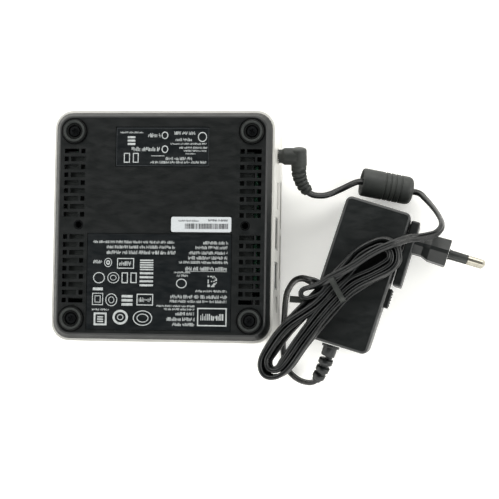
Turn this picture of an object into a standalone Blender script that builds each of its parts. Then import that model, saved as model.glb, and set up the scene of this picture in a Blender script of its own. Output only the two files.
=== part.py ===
"""Small square mini PC with its wall-plug power supply, as an assembly of separate pieces.

The PC lies on its lid: +Z points out through the underside and its four feet, +X is the side
with the rear connectors, and the origin is the centre of the lid's outer face. The power supply,
its plug head and its lead lie beside the connectors.

Lengths are written in millimetres, and MM turns them into metres where geometry is made.
"""
import math

import bmesh
import bpy
from mathutils import Matrix, Vector

MM = 0.001
GAP = 0.3                      # clearance between touching pieces

# Case
HALF_X = 56.0                  # half of the case's depth
HALF_Y = 58.3                  # half of the case's width
CORNER = 9.0                   # corner radius seen from above
WALL = 2.5                     # side frame's wall
LID_TOP = 2.4
FRAME_LOW = LID_TOP + GAP
FRAME_HIGH = 45.2
COVER_LOW = FRAME_HIGH + GAP
COVER_HIGH = 49.8
COVER_SKIN = 2.2
FOOT_HIGH = 51.5

# Feet, and the captive screws inside them
FOOT_X = 45.0
FOOT_Y = 47.2
FOOT_RADIUS = 6.0
FOOT_RIM = 1.2                 # width of the raised rim round the foot's dished face
FOOT_BORE = 3.3
FOOT_RECESS = 6.7
POST_RADIUS = 3.8
SCREW_RADIUS = 1.25

# Vent slots in the cover
SLOT_NEAR = 39.3
SLOT_FAR = 50.0
SLOT_PITCH = 4.0
SLOT_ROWS = 9
SLOT_WIDTH = 2.4
SLOT_SHORT = 2.2
SLOT_WEB = 1.1
UPPER_SLOT_START = 5.2
LOWER_SLOT_START = -6.0
VESA_X = 42.2

# Labels let into the cover: low x, low y, high x, high y
REGULATORY_LABEL = (-37.2, -52.4, 35.5, -4.4)
WIRELESS_LABEL = (-23.6, 29.5, 23.3, 49.3)
BARCODE_LABEL = (5.0, -3.3, 35.3, 4.3)
LABEL_THICK = 0.2

# Board
BOARD_LOW = 19.4
BOARD_HIGH = 21.0
BOARD_HALF = 50.8
BOARD_NOTCH_X = 39.5
BOARD_NOTCH_Y = 42.0
PORT_LOW = BOARD_HIGH + GAP

# Connectors in the rear wall: centre y, width, height
JACK_Y = 37.5
JACK_Z = 25.7
JACK_BORE = 3.1
WIDE_VIDEO = (17.2, 13.4, 5.8)
LAN = (-2.6, 16.0, 13.3)
USB_STACK = (-24.0, 13.6, 15.2)
SMALL_VIDEO = (-38.6, 7.6, 5.2)
PORT_OUT = 55.4                # the connectors' open ends, just inside the wall's outer face
PORT_SKIN = 0.7
EXHAUST_VENTS = ((13.5, 24.4), (-13.5, 22.4))    # centre y, width
VENT_Z = (4.2, 10.2)

# Blower and heat sink
FAN_X = 6.0
FAN_Y = -2.0
FAN_RADIUS = 28.0
FAN_LOW = 3.2
FAN_HIGH = 17.0
BLADES = 23
FIN_COUNT = 20

# Storage
DRIVE_HALF_Y = 34.95
DRIVE_LOW = 38.5
DRIVE_HIGH = 45.5

# Lead: a flat twin cord, drawn here as a round tube of the same cross-section
CORD_RADIUS = 1.6
PLUG_TILT = math.radians(20.0)   # how far the angled plug's leg dips towards the table
FERRITE_CENTRE = (111.3, 23.75, 9.5)
FERRITE_TURN = math.radians(-9.7)
FERRITE_TILT = math.radians(12.0)    # the end nearer the PC is held up by the lead
FERRITE_LENGTH = 27.0
FERRITE_RADIUS = 7.3

# Power supply, in its own frame: +Y towards the plug end, +X out through the plug's side
SUPPLY_AT = (99.4, -25.0, 0.0)
SUPPLY_TURN = math.radians(-16.5)
SUPPLY_HIGH = 41.0
SUPPLY_SPLIT = 20.5
SUPPLY_OUTLINE = ((-19.7, -35.9), (14.0, -35.9), (15.3, 38.0), (-18.4, 38.0))
HEAD_Y = (1.6, 35.3)
HEAD_Z = (2.4, 38.5)
PLUG_Y = 25.2
PIN_SPREAD = 9.2
PIN_RADIUS = 2.0

FINE_STEPS = 24                # fine points between two points of a route

PARTS = "mini_pc"
CUTTERS = "mini_pc_cutters"


def clear_scene():
    for obj in list(bpy.data.objects):
        bpy.data.objects.remove(obj, do_unlink=True)


def new_collection(name):
    found = bpy.data.collections.get(name) or bpy.data.collections.new(name)
    if name not in bpy.context.scene.collection.children:
        bpy.context.scene.collection.children.link(found)
    return found


def principled(name, colour, roughness, metallic=0.0):
    material = bpy.data.materials.new(name)
    material.use_nodes = True
    shader = material.node_tree.nodes["Principled BSDF"]
    shader.inputs["Base Color"].default_value = (*colour, 1.0)
    shader.inputs["Roughness"].default_value = roughness
    shader.inputs["Metallic"].default_value = metallic
    return material


# ---------------------------------------------------------------- mesh helpers (millimetres)

def finish_mesh(shape, name):
    """Turn a bmesh drawn in millimetres into a mesh in metres."""
    bmesh.ops.scale(shape, vec=(MM, MM, MM), verts=shape.verts)
    bmesh.ops.recalc_face_normals(shape, faces=shape.faces)
    mesh = bpy.data.meshes.new(name)
    shape.to_mesh(mesh)
    shape.free()
    return mesh


def add_box(shape, low, high):
    size = [high[i] - low[i] for i in range(3)]
    centre = [(high[i] + low[i]) / 2 for i in range(3)]
    matrix = Matrix.Translation(centre) @ Matrix.Diagonal((*size, 1.0))
    bmesh.ops.create_cube(shape, size=1.0, matrix=matrix)


def boxes_mesh(name, boxes):
    shape = bmesh.new()
    for low, high in boxes:
        add_box(shape, low, high)
    return finish_mesh(shape, name)


AXIS_TURNS = {
    "X": Matrix.Rotation(math.pi / 2, 4, "Y"),
    "Y": Matrix.Rotation(-math.pi / 2, 4, "X"),
    "Z": Matrix.Identity(4),
}


# Stands an outline drawn in XY up into YZ, with its thickness along X
OUTLINE_IN_YZ = Matrix(((0, 0, 1, 0), (1, 0, 0, 0), (0, 1, 0, 0), (0, 0, 0, 1)))


def rods_mesh(name, rods, segments=24):
    """Cylinders, each (centre, radius, length, axis)."""
    shape = bmesh.new()
    for centre, radius, length, axis in rods:
        matrix = Matrix.Translation(centre) @ AXIS_TURNS[axis]
        bmesh.ops.create_cone(
            shape, cap_ends=True, segments=segments,
            radius1=radius, radius2=radius, depth=length, matrix=matrix)
    return finish_mesh(shape, name)


def arc(centre, radius, start, end, steps):
    """Points on an arc, angles in degrees."""
    points = []
    for i in range(steps + 1):
        angle = math.radians(start + (end - start) * i / steps)
        points.append((centre[0] + radius * math.cos(angle), centre[1] + radius * math.sin(angle)))
    return points


def rounded_rectangle(half_x, half_y, radius, steps=6):
    points = []
    for quarter, (sign_x, sign_y) in enumerate(((1, 1), (-1, 1), (-1, -1), (1, -1))):
        centre = (sign_x * (half_x - radius), sign_y * (half_y - radius))
        points += arc(centre, radius, 90 * quarter, 90 * (quarter + 1), steps)
    return points


def rectangle(low_x, low_y, high_x, high_y):
    return [(low_x, low_y), (high_x, low_y), (high_x, high_y), (low_x, high_y)]


def sheet_mesh(name, outlines, low, high):
    """A flat outline, with any holes, given thickness from low to high along Z."""
    curve = bpy.data.curves.new(name, "CURVE")
    curve.dimensions = "2D"
    curve.fill_mode = "BOTH"
    curve.extrude = (high - low) / 2 * MM
    for outline in outlines:
        spline = curve.splines.new("POLY")
        spline.points.add(len(outline) - 1)
        for point, (x, y) in zip(spline.points, outline):
            point.co = (x * MM, y * MM, 0.0, 1.0)
        spline.use_cyclic_u = True
    return curve_to_mesh(name, curve, Matrix.Translation((0.0, 0.0, (high + low) / 2 * MM)))


def curve_to_mesh(name, curve, matrix=None):
    guide = bpy.data.objects.new(name + "_guide", curve)
    bpy.context.scene.collection.objects.link(guide)
    bpy.context.view_layer.update()
    evaluated = guide.evaluated_get(bpy.context.evaluated_depsgraph_get())
    mesh = bpy.data.meshes.new_from_object(evaluated)
    mesh.name = name
    bpy.data.objects.remove(guide, do_unlink=True)
    bpy.data.curves.remove(curve)
    shape = bmesh.new()
    shape.from_mesh(mesh)
    bmesh.ops.remove_doubles(shape, verts=shape.verts, dist=1e-6)
    if matrix is not None:
        bmesh.ops.transform(shape, matrix=matrix, verts=shape.verts)
    bmesh.ops.recalc_face_normals(shape, faces=shape.faces)
    shape.to_mesh(mesh)
    shape.free()
    return mesh


def loft_mesh(name, sections):
    """A closed body through sections that have the same number of points, capped at both ends."""
    shape = bmesh.new()
    rings = [[shape.verts.new(point) for point in section] for section in sections]
    count = len(rings[0])
    for near, far in zip(rings, rings[1:]):
        for i in range(count):
            j = (i + 1) % count
            shape.faces.new((near[i], near[j], far[j], far[i]))
    shape.faces.new(list(reversed(rings[0])))
    shape.faces.new(rings[-1])
    return finish_mesh(shape, name)


def stack_mesh(name, levels):
    """A loft upwards through outlines, each (outline, z)."""
    return loft_mesh(name, [[(x, y, z) for x, y in outline] for outline, z in levels])


def smooth_route(points, spacing):
    """Evenly spaced points on a smooth curve through the given points."""
    knots = [Vector(point) for point in points]
    ends = [knots[0] * 2 - knots[1]] + knots + [knots[-1] * 2 - knots[-2]]
    fine = []
    for before, start, end, after in zip(ends, ends[1:], ends[2:], ends[3:]):
        for step in range(FINE_STEPS):
            t = step / FINE_STEPS
            fine.append(0.5 * (
                start * 2
                + (end - before) * t
                + (before * 2 - start * 5 + end * 4 - after) * t ** 2
                + (start * 3 - before - end * 3 + after) * t ** 3))
    fine.append(knots[-1])
    length = sum((b - a).length for a, b in zip(fine, fine[1:]))
    count = max(2, round(length / spacing))
    result = [fine[0]]
    travelled = 0.0
    for a, b in zip(fine, fine[1:]):
        step = (b - a).length
        while len(result) < count and travelled + step >= length * len(result) / count:
            part = (length * len(result) / count - travelled) / step
            result.append(a.lerp(b, part))
        travelled += step
    result.append(fine[-1])
    return result


def tube_curve(name, route, radii, resolution=2):
    """A tube curve along a route; radii is one radius or one for each point."""
    curve = bpy.data.curves.new(name, "CURVE")
    curve.dimensions = "3D"
    curve.bevel_depth = MM
    curve.bevel_resolution = resolution
    curve.use_fill_caps = True
    spline = curve.splines.new("POLY")
    spline.points.add(len(route) - 1)
    for index, (point, place) in enumerate(zip(spline.points, route)):
        point.co = (*(Vector(place) * MM), 1.0)
        point.radius = radii[index] if isinstance(radii, list) else radii
    return curve


# ---------------------------------------------------------------- object helpers

def add_object(name, data, material, matrix=None, smooth=0.0):
    obj = bpy.data.objects.new(name, data)
    bpy.data.collections[PARTS].objects.link(obj)
    obj.data.materials.clear()
    obj.data.materials.append(material)
    if matrix is not None:
        obj.matrix_world = matrix
    if smooth:
        obj.data.shade_smooth()
        obj.data.set_sharp_from_angle(angle=math.radians(smooth))
    return obj


def combine(target, mesh, operation="DIFFERENCE"):
    """Cut a mesh out of an object, or join it on."""
    number = len(bpy.data.collections[CUTTERS].objects)
    cutter = bpy.data.objects.new("cutter_%02d_%s" % (number, target.name), mesh)
    bpy.data.collections[CUTTERS].objects.link(cutter)
    cutter.matrix_world = target.matrix_world
    cutter.hide_render = True
    cutter.display_type = "WIRE"
    modifier = target.modifiers.new(operation.title(), "BOOLEAN")
    modifier.operation = operation
    modifier.object = cutter
    return modifier


def join(target, other):
    """Join one object onto another with a Boolean union; the other becomes a hidden guide."""
    bpy.data.collections[PARTS].objects.unlink(other)
    bpy.data.collections[CUTTERS].objects.link(other)
    other.hide_render = True
    other.display_type = "WIRE"
    modifier = target.modifiers.new("Union", "BOOLEAN")
    modifier.operation = "UNION"
    modifier.object = other


def bevel(obj, width, segments=2, angle=40.0):
    modifier = obj.modifiers.new("Bevel", "BEVEL")
    modifier.width = width * MM
    modifier.segments = segments
    modifier.limit_method = "ANGLE"
    modifier.angle_limit = math.radians(angle)
    return modifier


def turned(name, profile, material, matrix, segments=32):
    """A profile of (radius, height) points, top to bottom down its outer side, turned about Z."""
    mesh = bpy.data.meshes.new(name)
    points = [(radius * MM, 0.0, height * MM) for radius, height in profile]
    closed = profile[0][0] > 0
    edges = [(i, i + 1) for i in range(len(points) - 1)]
    if closed:
        edges.append((len(points) - 1, 0))
    mesh.from_pydata(points, edges, [])
    obj = add_object(name, mesh, material, matrix)
    screw = obj.modifiers.new("Screw", "SCREW")
    screw.axis = "Z"
    screw.steps = segments
    screw.render_steps = segments
    screw.use_merge_vertices = True
    screw.merge_threshold = 0.00001
    screw.use_smooth_shade = True
    return obj


def at(x, y, z):
    return Matrix.Translation((x * MM, y * MM, z * MM))


# ---------------------------------------------------------------- case

def make_lid(materials):
    outline = rounded_rectangle
    mesh = stack_mesh("lid", [
        (outline(HALF_X - 2.2, HALF_Y - 2.2, CORNER - 2.2), 0.0),
        (outline(HALF_X - 1.3, HALF_Y - 1.3, CORNER - 1.3), 0.9),
        (outline(HALF_X - 1.0, HALF_Y - 1.0, CORNER - 1.0), LID_TOP)])
    lid = add_object("lid", mesh, materials["gloss_black"], smooth=35.0)
    button_hole = rods_mesh("button_hole", [((-38.0, 40.0, LID_TOP / 2), 4.9, 2 * LID_TOP, "Z")])
    combine(lid, button_hole)


def post_places():
    return [(sx * FOOT_X, sy * FOOT_Y) for sy in (1, -1) for sx in (-1, 1)]


def rear_openings():
    """Boxes through the rear wall for the connectors and the exhaust."""
    boxes = []
    for centre, width, height in (WIDE_VIDEO, LAN, USB_STACK, SMALL_VIDEO):
        low = (HALF_X - 2 * WALL, centre - width / 2 - GAP, PORT_LOW - GAP)
        high = (HALF_X + 1, centre + width / 2 + GAP, PORT_LOW + height + GAP)
        boxes.append((low, high))
    for centre, width in EXHAUST_VENTS:
        low = (HALF_X - 2 * WALL, centre - width / 2, VENT_Z[0])
        boxes.append((low, (HALF_X + 1, centre + width / 2, VENT_Z[1])))
    return boxes


def front_openings():
    """Boxes through the front wall for two USB ports and the infrared window."""
    boxes = []
    for centre in (-17.0, 17.0):
        low = (-HALF_X - 1, centre - 7.0, PORT_LOW - GAP)
        boxes.append((low, (-HALF_X + 2 * WALL, centre + 7.0, PORT_LOW + 6.8)))
    boxes.append(((-HALF_X - 1, -39.3, 22.7), (-HALF_X + 2 * WALL, -30.7, 27.3)))
    return boxes


def make_side_frame(materials):
    ring = sheet_mesh(
        "side_frame",
        [rounded_rectangle(HALF_X, HALF_Y, CORNER),
         rounded_rectangle(HALF_X - WALL, HALF_Y - WALL, CORNER - WALL)],
        FRAME_LOW, FRAME_HIGH)
    frame = add_object("side_frame", ring, materials["silver"], smooth=35.0)
    height = FRAME_HIGH - FRAME_LOW
    middle = (FRAME_HIGH + FRAME_LOW) / 2
    posts = [((x, y, middle), POST_RADIUS, height, "Z") for x, y in post_places()]
    combine(frame, rods_mesh("posts", posts, 16), "UNION")
    ribs = []
    for x, y in post_places():
        side = math.copysign(1.0, x)
        ends = sorted((side * (FOOT_X + 1.0), side * (HALF_X - WALL / 2)))
        ribs.append(((ends[0], y - 1.3, FRAME_LOW + 1), (ends[1], y + 1.3, FRAME_HIGH - 1)))
    combine(frame, boxes_mesh("ribs", ribs), "UNION")
    bores = [((x, y, FRAME_HIGH), SCREW_RADIUS + 0.35, 20.0, "Z") for x, y in post_places()]
    combine(frame, rods_mesh("post_bores", bores, 12))
    combine(frame, boxes_mesh("wall_openings", rear_openings() + front_openings()))
    round_holes = [
        ((HALF_X - WALL / 2, JACK_Y, JACK_Z), 4.1, 3 * WALL, "X"),
        ((-HALF_X + WALL / 2, 0.0, PORT_LOW + 3.0), 2.9, 3 * WALL, "X")]
    combine(frame, rods_mesh("round_openings", round_holes))
    lock_slot = [((-30.0 - 3.6, HALF_Y - 2 * WALL, 24.0), (-30.0 + 3.6, HALF_Y + 1, 27.4))]
    combine(frame, boxes_mesh("lock_slot", lock_slot))


def make_io_plate(materials):
    ports = (WIDE_VIDEO, LAN, USB_STACK, SMALL_VIDEO)
    plate = rectangle(-BOARD_NOTCH_Y - 2.0, PORT_LOW, BOARD_NOTCH_Y + 2.0, PORT_LOW + 16.0)
    mesh = sheet_mesh("io_plate", [plate], HALF_X - WALL - 0.8, HALF_X - WALL - GAP)
    obj = add_object("io_plate", mesh, materials["steel"], OUTLINE_IN_YZ)
    cuts = []
    for centre, width, height in ports + ((JACK_Y, 9.2, 8.8),):
        low_y = centre - width / 2 - GAP
        cuts.append(((low_y, PORT_LOW - 1, HALF_X - 2 * WALL),
                     (low_y + width + 2 * GAP, PORT_LOW + height + GAP, HALF_X)))
    combine(obj, boxes_mesh("io_cuts", cuts))


def port_shell(name, centre, width, height, depth, outside, material):
    """A connector: a metal box that is open towards outside, which is +1 at the rear."""
    mouth = outside * PORT_OUT
    back = outside * (PORT_OUT - depth)
    low_x, high_x = sorted((mouth, back))
    low = (low_x, centre - width / 2, PORT_LOW)
    high = (high_x, centre + width / 2, PORT_LOW + height)
    shell = add_object(name, boxes_mesh(name, [(low, high)]), material)
    in_low, in_high = sorted((mouth + outside, back + outside * 2.0))
    return shell, in_low, in_high


def hollow_port(name, centre, width, height, depth, outside, material):
    shell, in_low, in_high = port_shell(name, centre, width, height, depth, outside, material)
    cavity = ((in_low, centre - width / 2 + PORT_SKIN, PORT_LOW + PORT_SKIN),
              (in_high, centre + width / 2 - PORT_SKIN, PORT_LOW + height - PORT_SKIN))
    combine(shell, boxes_mesh(name + "_cavity", [cavity]))
    return shell


def make_connectors(materials):
    metal = materials["steel"]
    hollow_port("video_port_wide", *WIDE_VIDEO, 12.0, 1, metal)
    hollow_port("video_port_small", *SMALL_VIDEO, 12.0, 1, metal)
    hollow_port("lan_port", *LAN, 20.0, 1, metal)
    for name, centre in (("front_usb_port_left", -17.0), ("front_usb_port_right", 17.0)):
        hollow_port(name, centre, 13.4, 6.5, 17.0, -1, metal)
    centre, width, height = USB_STACK
    stack, in_low, in_high = port_shell("usb_port_stack", centre, width, height, 17.0, 1, metal)
    cavities = []
    for level in (0.0, 8.2):
        low_z = PORT_LOW + PORT_SKIN + level
        cavities.append(((in_low, centre - 6.1, low_z), (in_high, centre + 6.1, low_z + 5.3)))
    combine(stack, boxes_mesh("usb_cavities", cavities))
    make_dc_jack(materials)
    audio = boxes_mesh("audio_jack", [((-53.2, -3.4, PORT_LOW), (-41.0, 3.4, PORT_LOW + 6.0))])
    jack = add_object("audio_jack", audio, materials["black_plastic"])
    bore = rods_mesh("audio_bore", [((-49.0, 0.0, PORT_LOW + 3.0), 2.4, 12.0, "X")], 16)
    combine(jack, bore)
    window = [((-55.7, -39.0, 23.0), (-53.9, -31.0, 27.0))]
    add_object("infrared_window", boxes_mesh("infrared_window", window), materials["dark_window"])


def make_dc_jack(materials):
    low = (41.0, JACK_Y - 4.4, PORT_LOW)
    high = (53.2, JACK_Y + 4.4, JACK_Z + 4.4)
    jack = add_object("dc_jack", boxes_mesh("dc_jack", [(low, high)]), materials["black_plastic"])
    combine(jack, rods_mesh("jack_bore", [((49.0, JACK_Y, JACK_Z), JACK_BORE, 11.0, "X")]))
    pin = rods_mesh("jack_pin", [((47.3, JACK_Y, JACK_Z), 0.9, 9.4, "X")], 12)
    combine(jack, pin, "UNION")


# ---------------------------------------------------------------- electronics

def make_board(materials):
    inner, outer = BOARD_NOTCH_X, BOARD_HALF
    corner = BOARD_NOTCH_Y
    outline = [
        (inner, -outer), (inner, -corner), (outer, -corner), (outer, corner),
        (inner, corner), (inner, outer), (-inner, outer), (-inner, corner),
        (-outer, corner), (-outer, -corner), (-inner, -corner), (-inner, -outer)]
    mesh = sheet_mesh("motherboard", [outline], BOARD_LOW, BOARD_HIGH)
    add_object("motherboard", mesh, materials["board_green"])


def make_memory(materials):
    """A stacked socket with two memory modules in its slots."""
    socket = add_object(
        "memory_socket",
        boxes_mesh("memory_socket", [((-33.0, -36.0, PORT_LOW), (-27.0, 36.0, 30.2))]),
        materials["black_plastic"])
    slots = []
    for name, low in (("memory_module_lower", 23.8), ("memory_module_upper", 27.8)):
        high = low + 1.2
        slots.append(((-30.8, -34.4, low - GAP), (-26.0, 34.4, high + GAP)))
        body = boxes_mesh(name, [((-30.5, -33.8, low), (-0.5, 33.8, high))])
        module = add_object(name, body, materials["board_green"])
        chips = []
        for index in range(4):
            centre = -24.6 + 16.4 * index
            chips.append(((-17.0, centre - 5.2, high - 0.2), (-5.0, centre + 5.2, high + 0.9)))
        combine(module, boxes_mesh(name + "_chips", chips), "UNION")
    combine(socket, boxes_mesh("memory_slots", slots))


def make_wireless(materials):
    socket = boxes_mesh("card_socket", [((4.5, -39.5, PORT_LOW), (9.5, -15.5, 27.0))])
    holder = add_object("card_socket", socket, materials["black_plastic"])
    combine(holder, boxes_mesh("card_slot", [((6.7, -38.6, 23.7), (11.0, -16.4, 25.3))]))
    card = boxes_mesh("wireless_card", [((7.0, -38.3, 24.0), (34.2, -16.7, 25.0))])
    obj = add_object("wireless_card", card, materials["board_green"])
    shield = [((14.0, -36.0, 24.8), (30.0, -19.0, 26.4))]
    combine(obj, boxes_mesh("card_shield", shield), "UNION")
    cell = rods_mesh("coin_cell", [((17.0, 22.0, 22.9), 10.0, 3.2, "Z")])
    add_object("coin_cell", cell, materials["steel"], smooth=35.0)


def make_cooling(materials):
    package = boxes_mesh("processor", [((-49.0, -24.0, 18.2), (-25.0, 16.0, 19.1))])
    add_object("processor", package, materials["board_green"])
    plate = boxes_mesh("heat_spreader", [((-48.0, -19.0, 15.9), (-26.0, 11.0, 17.9))])
    add_object("heat_spreader", plate, materials["copper"])
    route = heat_pipe_route()
    sections = []
    for index, here in enumerate(route):
        ahead = route[min(index + 1, len(route) - 1)]
        behind = route[max(index - 1, 0)]
        along = (ahead - behind).normalized()
        across = Vector((-along.y, along.x, 0.0)) * 3.0
        low = Vector((0.0, 0.0, -1.2))
        sections.append([here + across + low, here + across - low,
                         here - across - low, here - across + low])
    pipe = add_object("heat_pipe", loft_mesh("heat_pipe", sections), materials["copper"])
    bevel(pipe, 0.9, 1)
    make_fin_stack(materials)
    make_blower(materials)


def heat_pipe_route():
    level = 14.4
    knots = [(-42.0, 8.0), (-36.0, -14.0), (-22.0, -32.0), (2.0, -37.5),
             (28.0, -36.5), (42.0, -31.5), (47.0, -20.0), (47.0, 0.0), (47.0, 20.0)]
    return smooth_route([(x, y, level) for x, y in knots], 7.0)


def make_fin_stack(materials):
    low_y, high_y = -26.5, 22.5
    base_low, base_high = 11.9, 12.8
    pitch = (high_y - low_y - 0.7) / (FIN_COUNT - 1)
    outline = [(high_y, base_high), (low_y, base_high)]
    for index in range(FIN_COUNT):
        start = low_y + index * pitch
        if index:
            outline.append((start, base_low))
        outline += [(start, 3.8), (start + 0.7, 3.8)]
        if index < FIN_COUNT - 1:
            outline.append((start + 0.7, base_low))
    mesh = sheet_mesh("fin_stack", [outline], 40.5, 51.5)
    add_object("fin_stack", mesh, materials["aluminium"], OUTLINE_IN_YZ)


def blower_outline(radius, half_mouth, mouth_x):
    """A circle with a straight-sided mouth towards the fins."""
    start = math.degrees(math.asin(half_mouth / radius))
    points = arc((FAN_X, FAN_Y), radius, start, 360.0 - start, 40)
    return points + [(mouth_x, FAN_Y - half_mouth), (mouth_x, FAN_Y + half_mouth)]


def make_blower(materials):
    body = sheet_mesh("fan_housing", [blower_outline(FAN_RADIUS, 25.0, 38.5)], FAN_LOW, FAN_HIGH)
    housing = add_object("fan_housing", body, materials["black_plastic"], smooth=35.0)
    inside = sheet_mesh("blower_inside", [blower_outline(FAN_RADIUS - 1.5, 23.5, 42.0)],
                        FAN_LOW + 1.2, FAN_HIGH - 1.2)
    combine(housing, inside)
    inlet = rods_mesh("blower_inlet", [((FAN_X, FAN_Y, FAN_LOW), 19.0, 3.0, "Z")], 32)
    combine(housing, inlet)
    post = rods_mesh("blower_post", [((FAN_X, FAN_Y, 10.5), 2.4, 11.0, "Z")], 16)
    combine(housing, post, "UNION")
    outline = []
    for blade in range(BLADES):
        angle = 2 * math.pi * blade / BLADES
        for radius, lead in ((13.0, -0.060), (25.0, 0.110), (25.0, 0.150), (13.0, 0.010)):
            turn = angle + lead
            outline.append((radius * math.cos(turn), radius * math.sin(turn)))
    bore = arc((0.0, 0.0), 2.9, 0.0, 345.0, 23)
    rotor = sheet_mesh("fan_rotor", [outline, bore], FAN_LOW + 1.9, FAN_HIGH - 1.8)
    add_object("fan_rotor", rotor, materials["black_plastic"], at(FAN_X, FAN_Y, 0.0))


def make_power_button(materials):
    profile = [(0.0, 18.4), (1.5, 18.4), (1.5, 3.9), (6.0, 3.9), (6.0, 2.7),
               (4.5, 2.7), (4.5, 0.6), (4.1, 0.3), (0.0, 0.3)]
    turned("power_button", profile, materials["button"], at(-38.0, 40.0, 0.0), 24)


# ---------------------------------------------------------------- bottom cover and what it holds

def slot_boxes():
    """Vent slots: each row is a long and a short slot, with the short one on alternate sides."""
    boxes = []
    starts = [UPPER_SLOT_START + SLOT_PITCH * row for row in range(SLOT_ROWS)]
    starts += [LOWER_SLOT_START - SLOT_PITCH * row for row in range(SLOT_ROWS)]
    for side in (-1, 1):
        for row, centre in enumerate(starts):
            near, far = SLOT_NEAR, SLOT_FAR
            if row % 2 == 0:
                spans = ((near, near + SLOT_SHORT), (near + SLOT_SHORT + SLOT_WEB, far))
            else:
                spans = ((near, far - SLOT_SHORT - SLOT_WEB), (far - SLOT_SHORT, far))
            for start, end in spans:
                low_x, high_x = sorted((side * start, side * end))
                boxes.append(((low_x, centre - SLOT_WIDTH / 2, COVER_LOW - 1),
                              (high_x, centre + SLOT_WIDTH / 2, COVER_HIGH + 1)))
    return boxes


def make_cover(materials):
    outline = rounded_rectangle
    mesh = stack_mesh("bottom_cover", [
        (outline(55.0, 57.1, 8.2), COVER_LOW),
        (outline(54.5, 56.6, 7.9), COVER_LOW + 1.2),
        (outline(52.9, 55.1, 6.9), COVER_HIGH - 0.6),
        (outline(52.1, 54.3, 6.3), COVER_HIGH)])
    cover = add_object("bottom_cover", mesh, materials["cover_black"], smooth=20.0)
    hollow = stack_mesh("cover_hollow", [
        (outline(52.6, 54.9, 6.3), COVER_LOW - 1.0),
        (outline(50.9, 53.2, 5.4), COVER_HIGH - COVER_SKIN)])
    combine(cover, hollow)
    combine(cover, boxes_mesh("vent_slots", slot_boxes()))
    recesses = []
    for low_x, low_y, high_x, high_y in (REGULATORY_LABEL, WIRELESS_LABEL, BARCODE_LABEL):
        recesses.append(((low_x - GAP, low_y - GAP, COVER_HIGH - LABEL_THICK - GAP),
                         (high_x + GAP, high_y + GAP, COVER_HIGH + 1)))
    combine(cover, boxes_mesh("label_recesses", recesses))
    foot_recesses = [((x, y, COVER_HIGH), FOOT_RECESS, 2.0, "Z") for x, y in post_places()]
    combine(cover, rods_mesh("foot_recesses", foot_recesses, 32))
    holes = [((x, y, COVER_HIGH), SCREW_RADIUS + 0.35, 8.0, "Z") for x, y in post_places()]
    holes += [((side * VESA_X, 0.0, COVER_HIGH), 1.8, 8.0, "Z") for side in (-1, 1)]
    combine(cover, rods_mesh("screw_holes", holes, 16))


def make_labels(materials):
    for name, box, colour in (
            ("regulatory_label", REGULATORY_LABEL, "label_dark"),
            ("wireless_label", WIRELESS_LABEL, "label_dark"),
            ("barcode_label", BARCODE_LABEL, "label_white")):
        low_x, low_y, high_x, high_y = box
        centre = ((low_x + high_x) / 2, (low_y + high_y) / 2)
        outline = [(centre[0] + x, centre[1] + y) for x, y in rounded_rectangle(
            (high_x - low_x) / 2, (high_y - low_y) / 2, 0.9, 4)]
        mesh = sheet_mesh(name, [outline], COVER_HIGH - LABEL_THICK, COVER_HIGH)
        add_object(name, mesh, materials[colour])


def make_feet(materials):
    base = COVER_HIGH - 0.7
    dish = FOOT_HIGH - 0.9
    foot_profile = [
        (FOOT_BORE, dish - 0.2), (FOOT_BORE + 0.3, dish), (FOOT_RADIUS - FOOT_RIM - 0.2, dish),
        (FOOT_RADIUS - FOOT_RIM, FOOT_HIGH - 0.2), (FOOT_RADIUS - FOOT_RIM + 0.3, FOOT_HIGH),
        (FOOT_RADIUS - 0.4, FOOT_HIGH), (FOOT_RADIUS, FOOT_HIGH - 0.5),
        (FOOT_RADIUS, base), (FOOT_BORE, base)]
    screw_profile = [
        (0.0, base + 0.9), (2.2, base + 0.9), (2.7, base + 0.5), (2.7, base),
        (SCREW_RADIUS, base), (SCREW_RADIUS, 37.5), (0.8, 36.6), (0.0, 36.6)]
    corners = ("front_right", "rear_right", "front_left", "rear_left")
    for corner, (x, y) in zip(corners, post_places()):
        turned("foot_" + corner, foot_profile, materials["rubber"], at(x, y, 0.0), 24)
        turned("captive_screw_" + corner, screw_profile, materials["steel"], at(x, y, 0.0), 16)


def make_storage(materials):
    """A metal bracket under the cover, the 2.5-inch drive in it, and the drive's connector board."""
    half = DRIVE_HALF_Y + 2.2
    top = COVER_HIGH - COVER_SKIN - GAP
    outline = [
        (-half, 37.2), (-half + 1.0, 37.2), (-half + 1.0, top - 1.0), (half - 1.0, top - 1.0),
        (half - 1.0, 37.2), (half, 37.2), (half, top), (-half, top)]
    mesh = sheet_mesh("drive_bracket", [outline], -49.5, 46.0)
    add_object("drive_bracket", mesh, materials["steel"], OUTLINE_IN_YZ)
    low = (-49.5, -DRIVE_HALF_Y, DRIVE_LOW)
    high = (45.7, DRIVE_HALF_Y, DRIVE_HIGH)
    drive = add_object(
        "storage_drive", boxes_mesh("storage_drive", [(low, high)]), materials["aluminium"])
    bevel(drive, 0.6, 1)
    board = boxes_mesh("drive_backplane", [((46.3, -30.0, 37.6), (47.9, 30.0, 46.2))])
    plane = add_object("drive_backplane", board, materials["board_green"])
    plug = boxes_mesh("drive_connector", [((47.6, -22.0, 39.0), (50.0, 8.0, 44.0))])
    combine(plane, plug, "UNION")


# ---------------------------------------------------------------- lead

def plug_leg(distance, x):
    """A point on the angled plug's leg, at a distance from the jack's axis."""
    return Vector((
        x, JACK_Y - distance * math.cos(PLUG_TILT), JACK_Z - distance * math.sin(PLUG_TILT)))


BOOT_START = 5.0                # distance along the leg
LEG_X = 66.65
LEG_RADIUS = 4.1
ARM_RADIUS = 4.4


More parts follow.
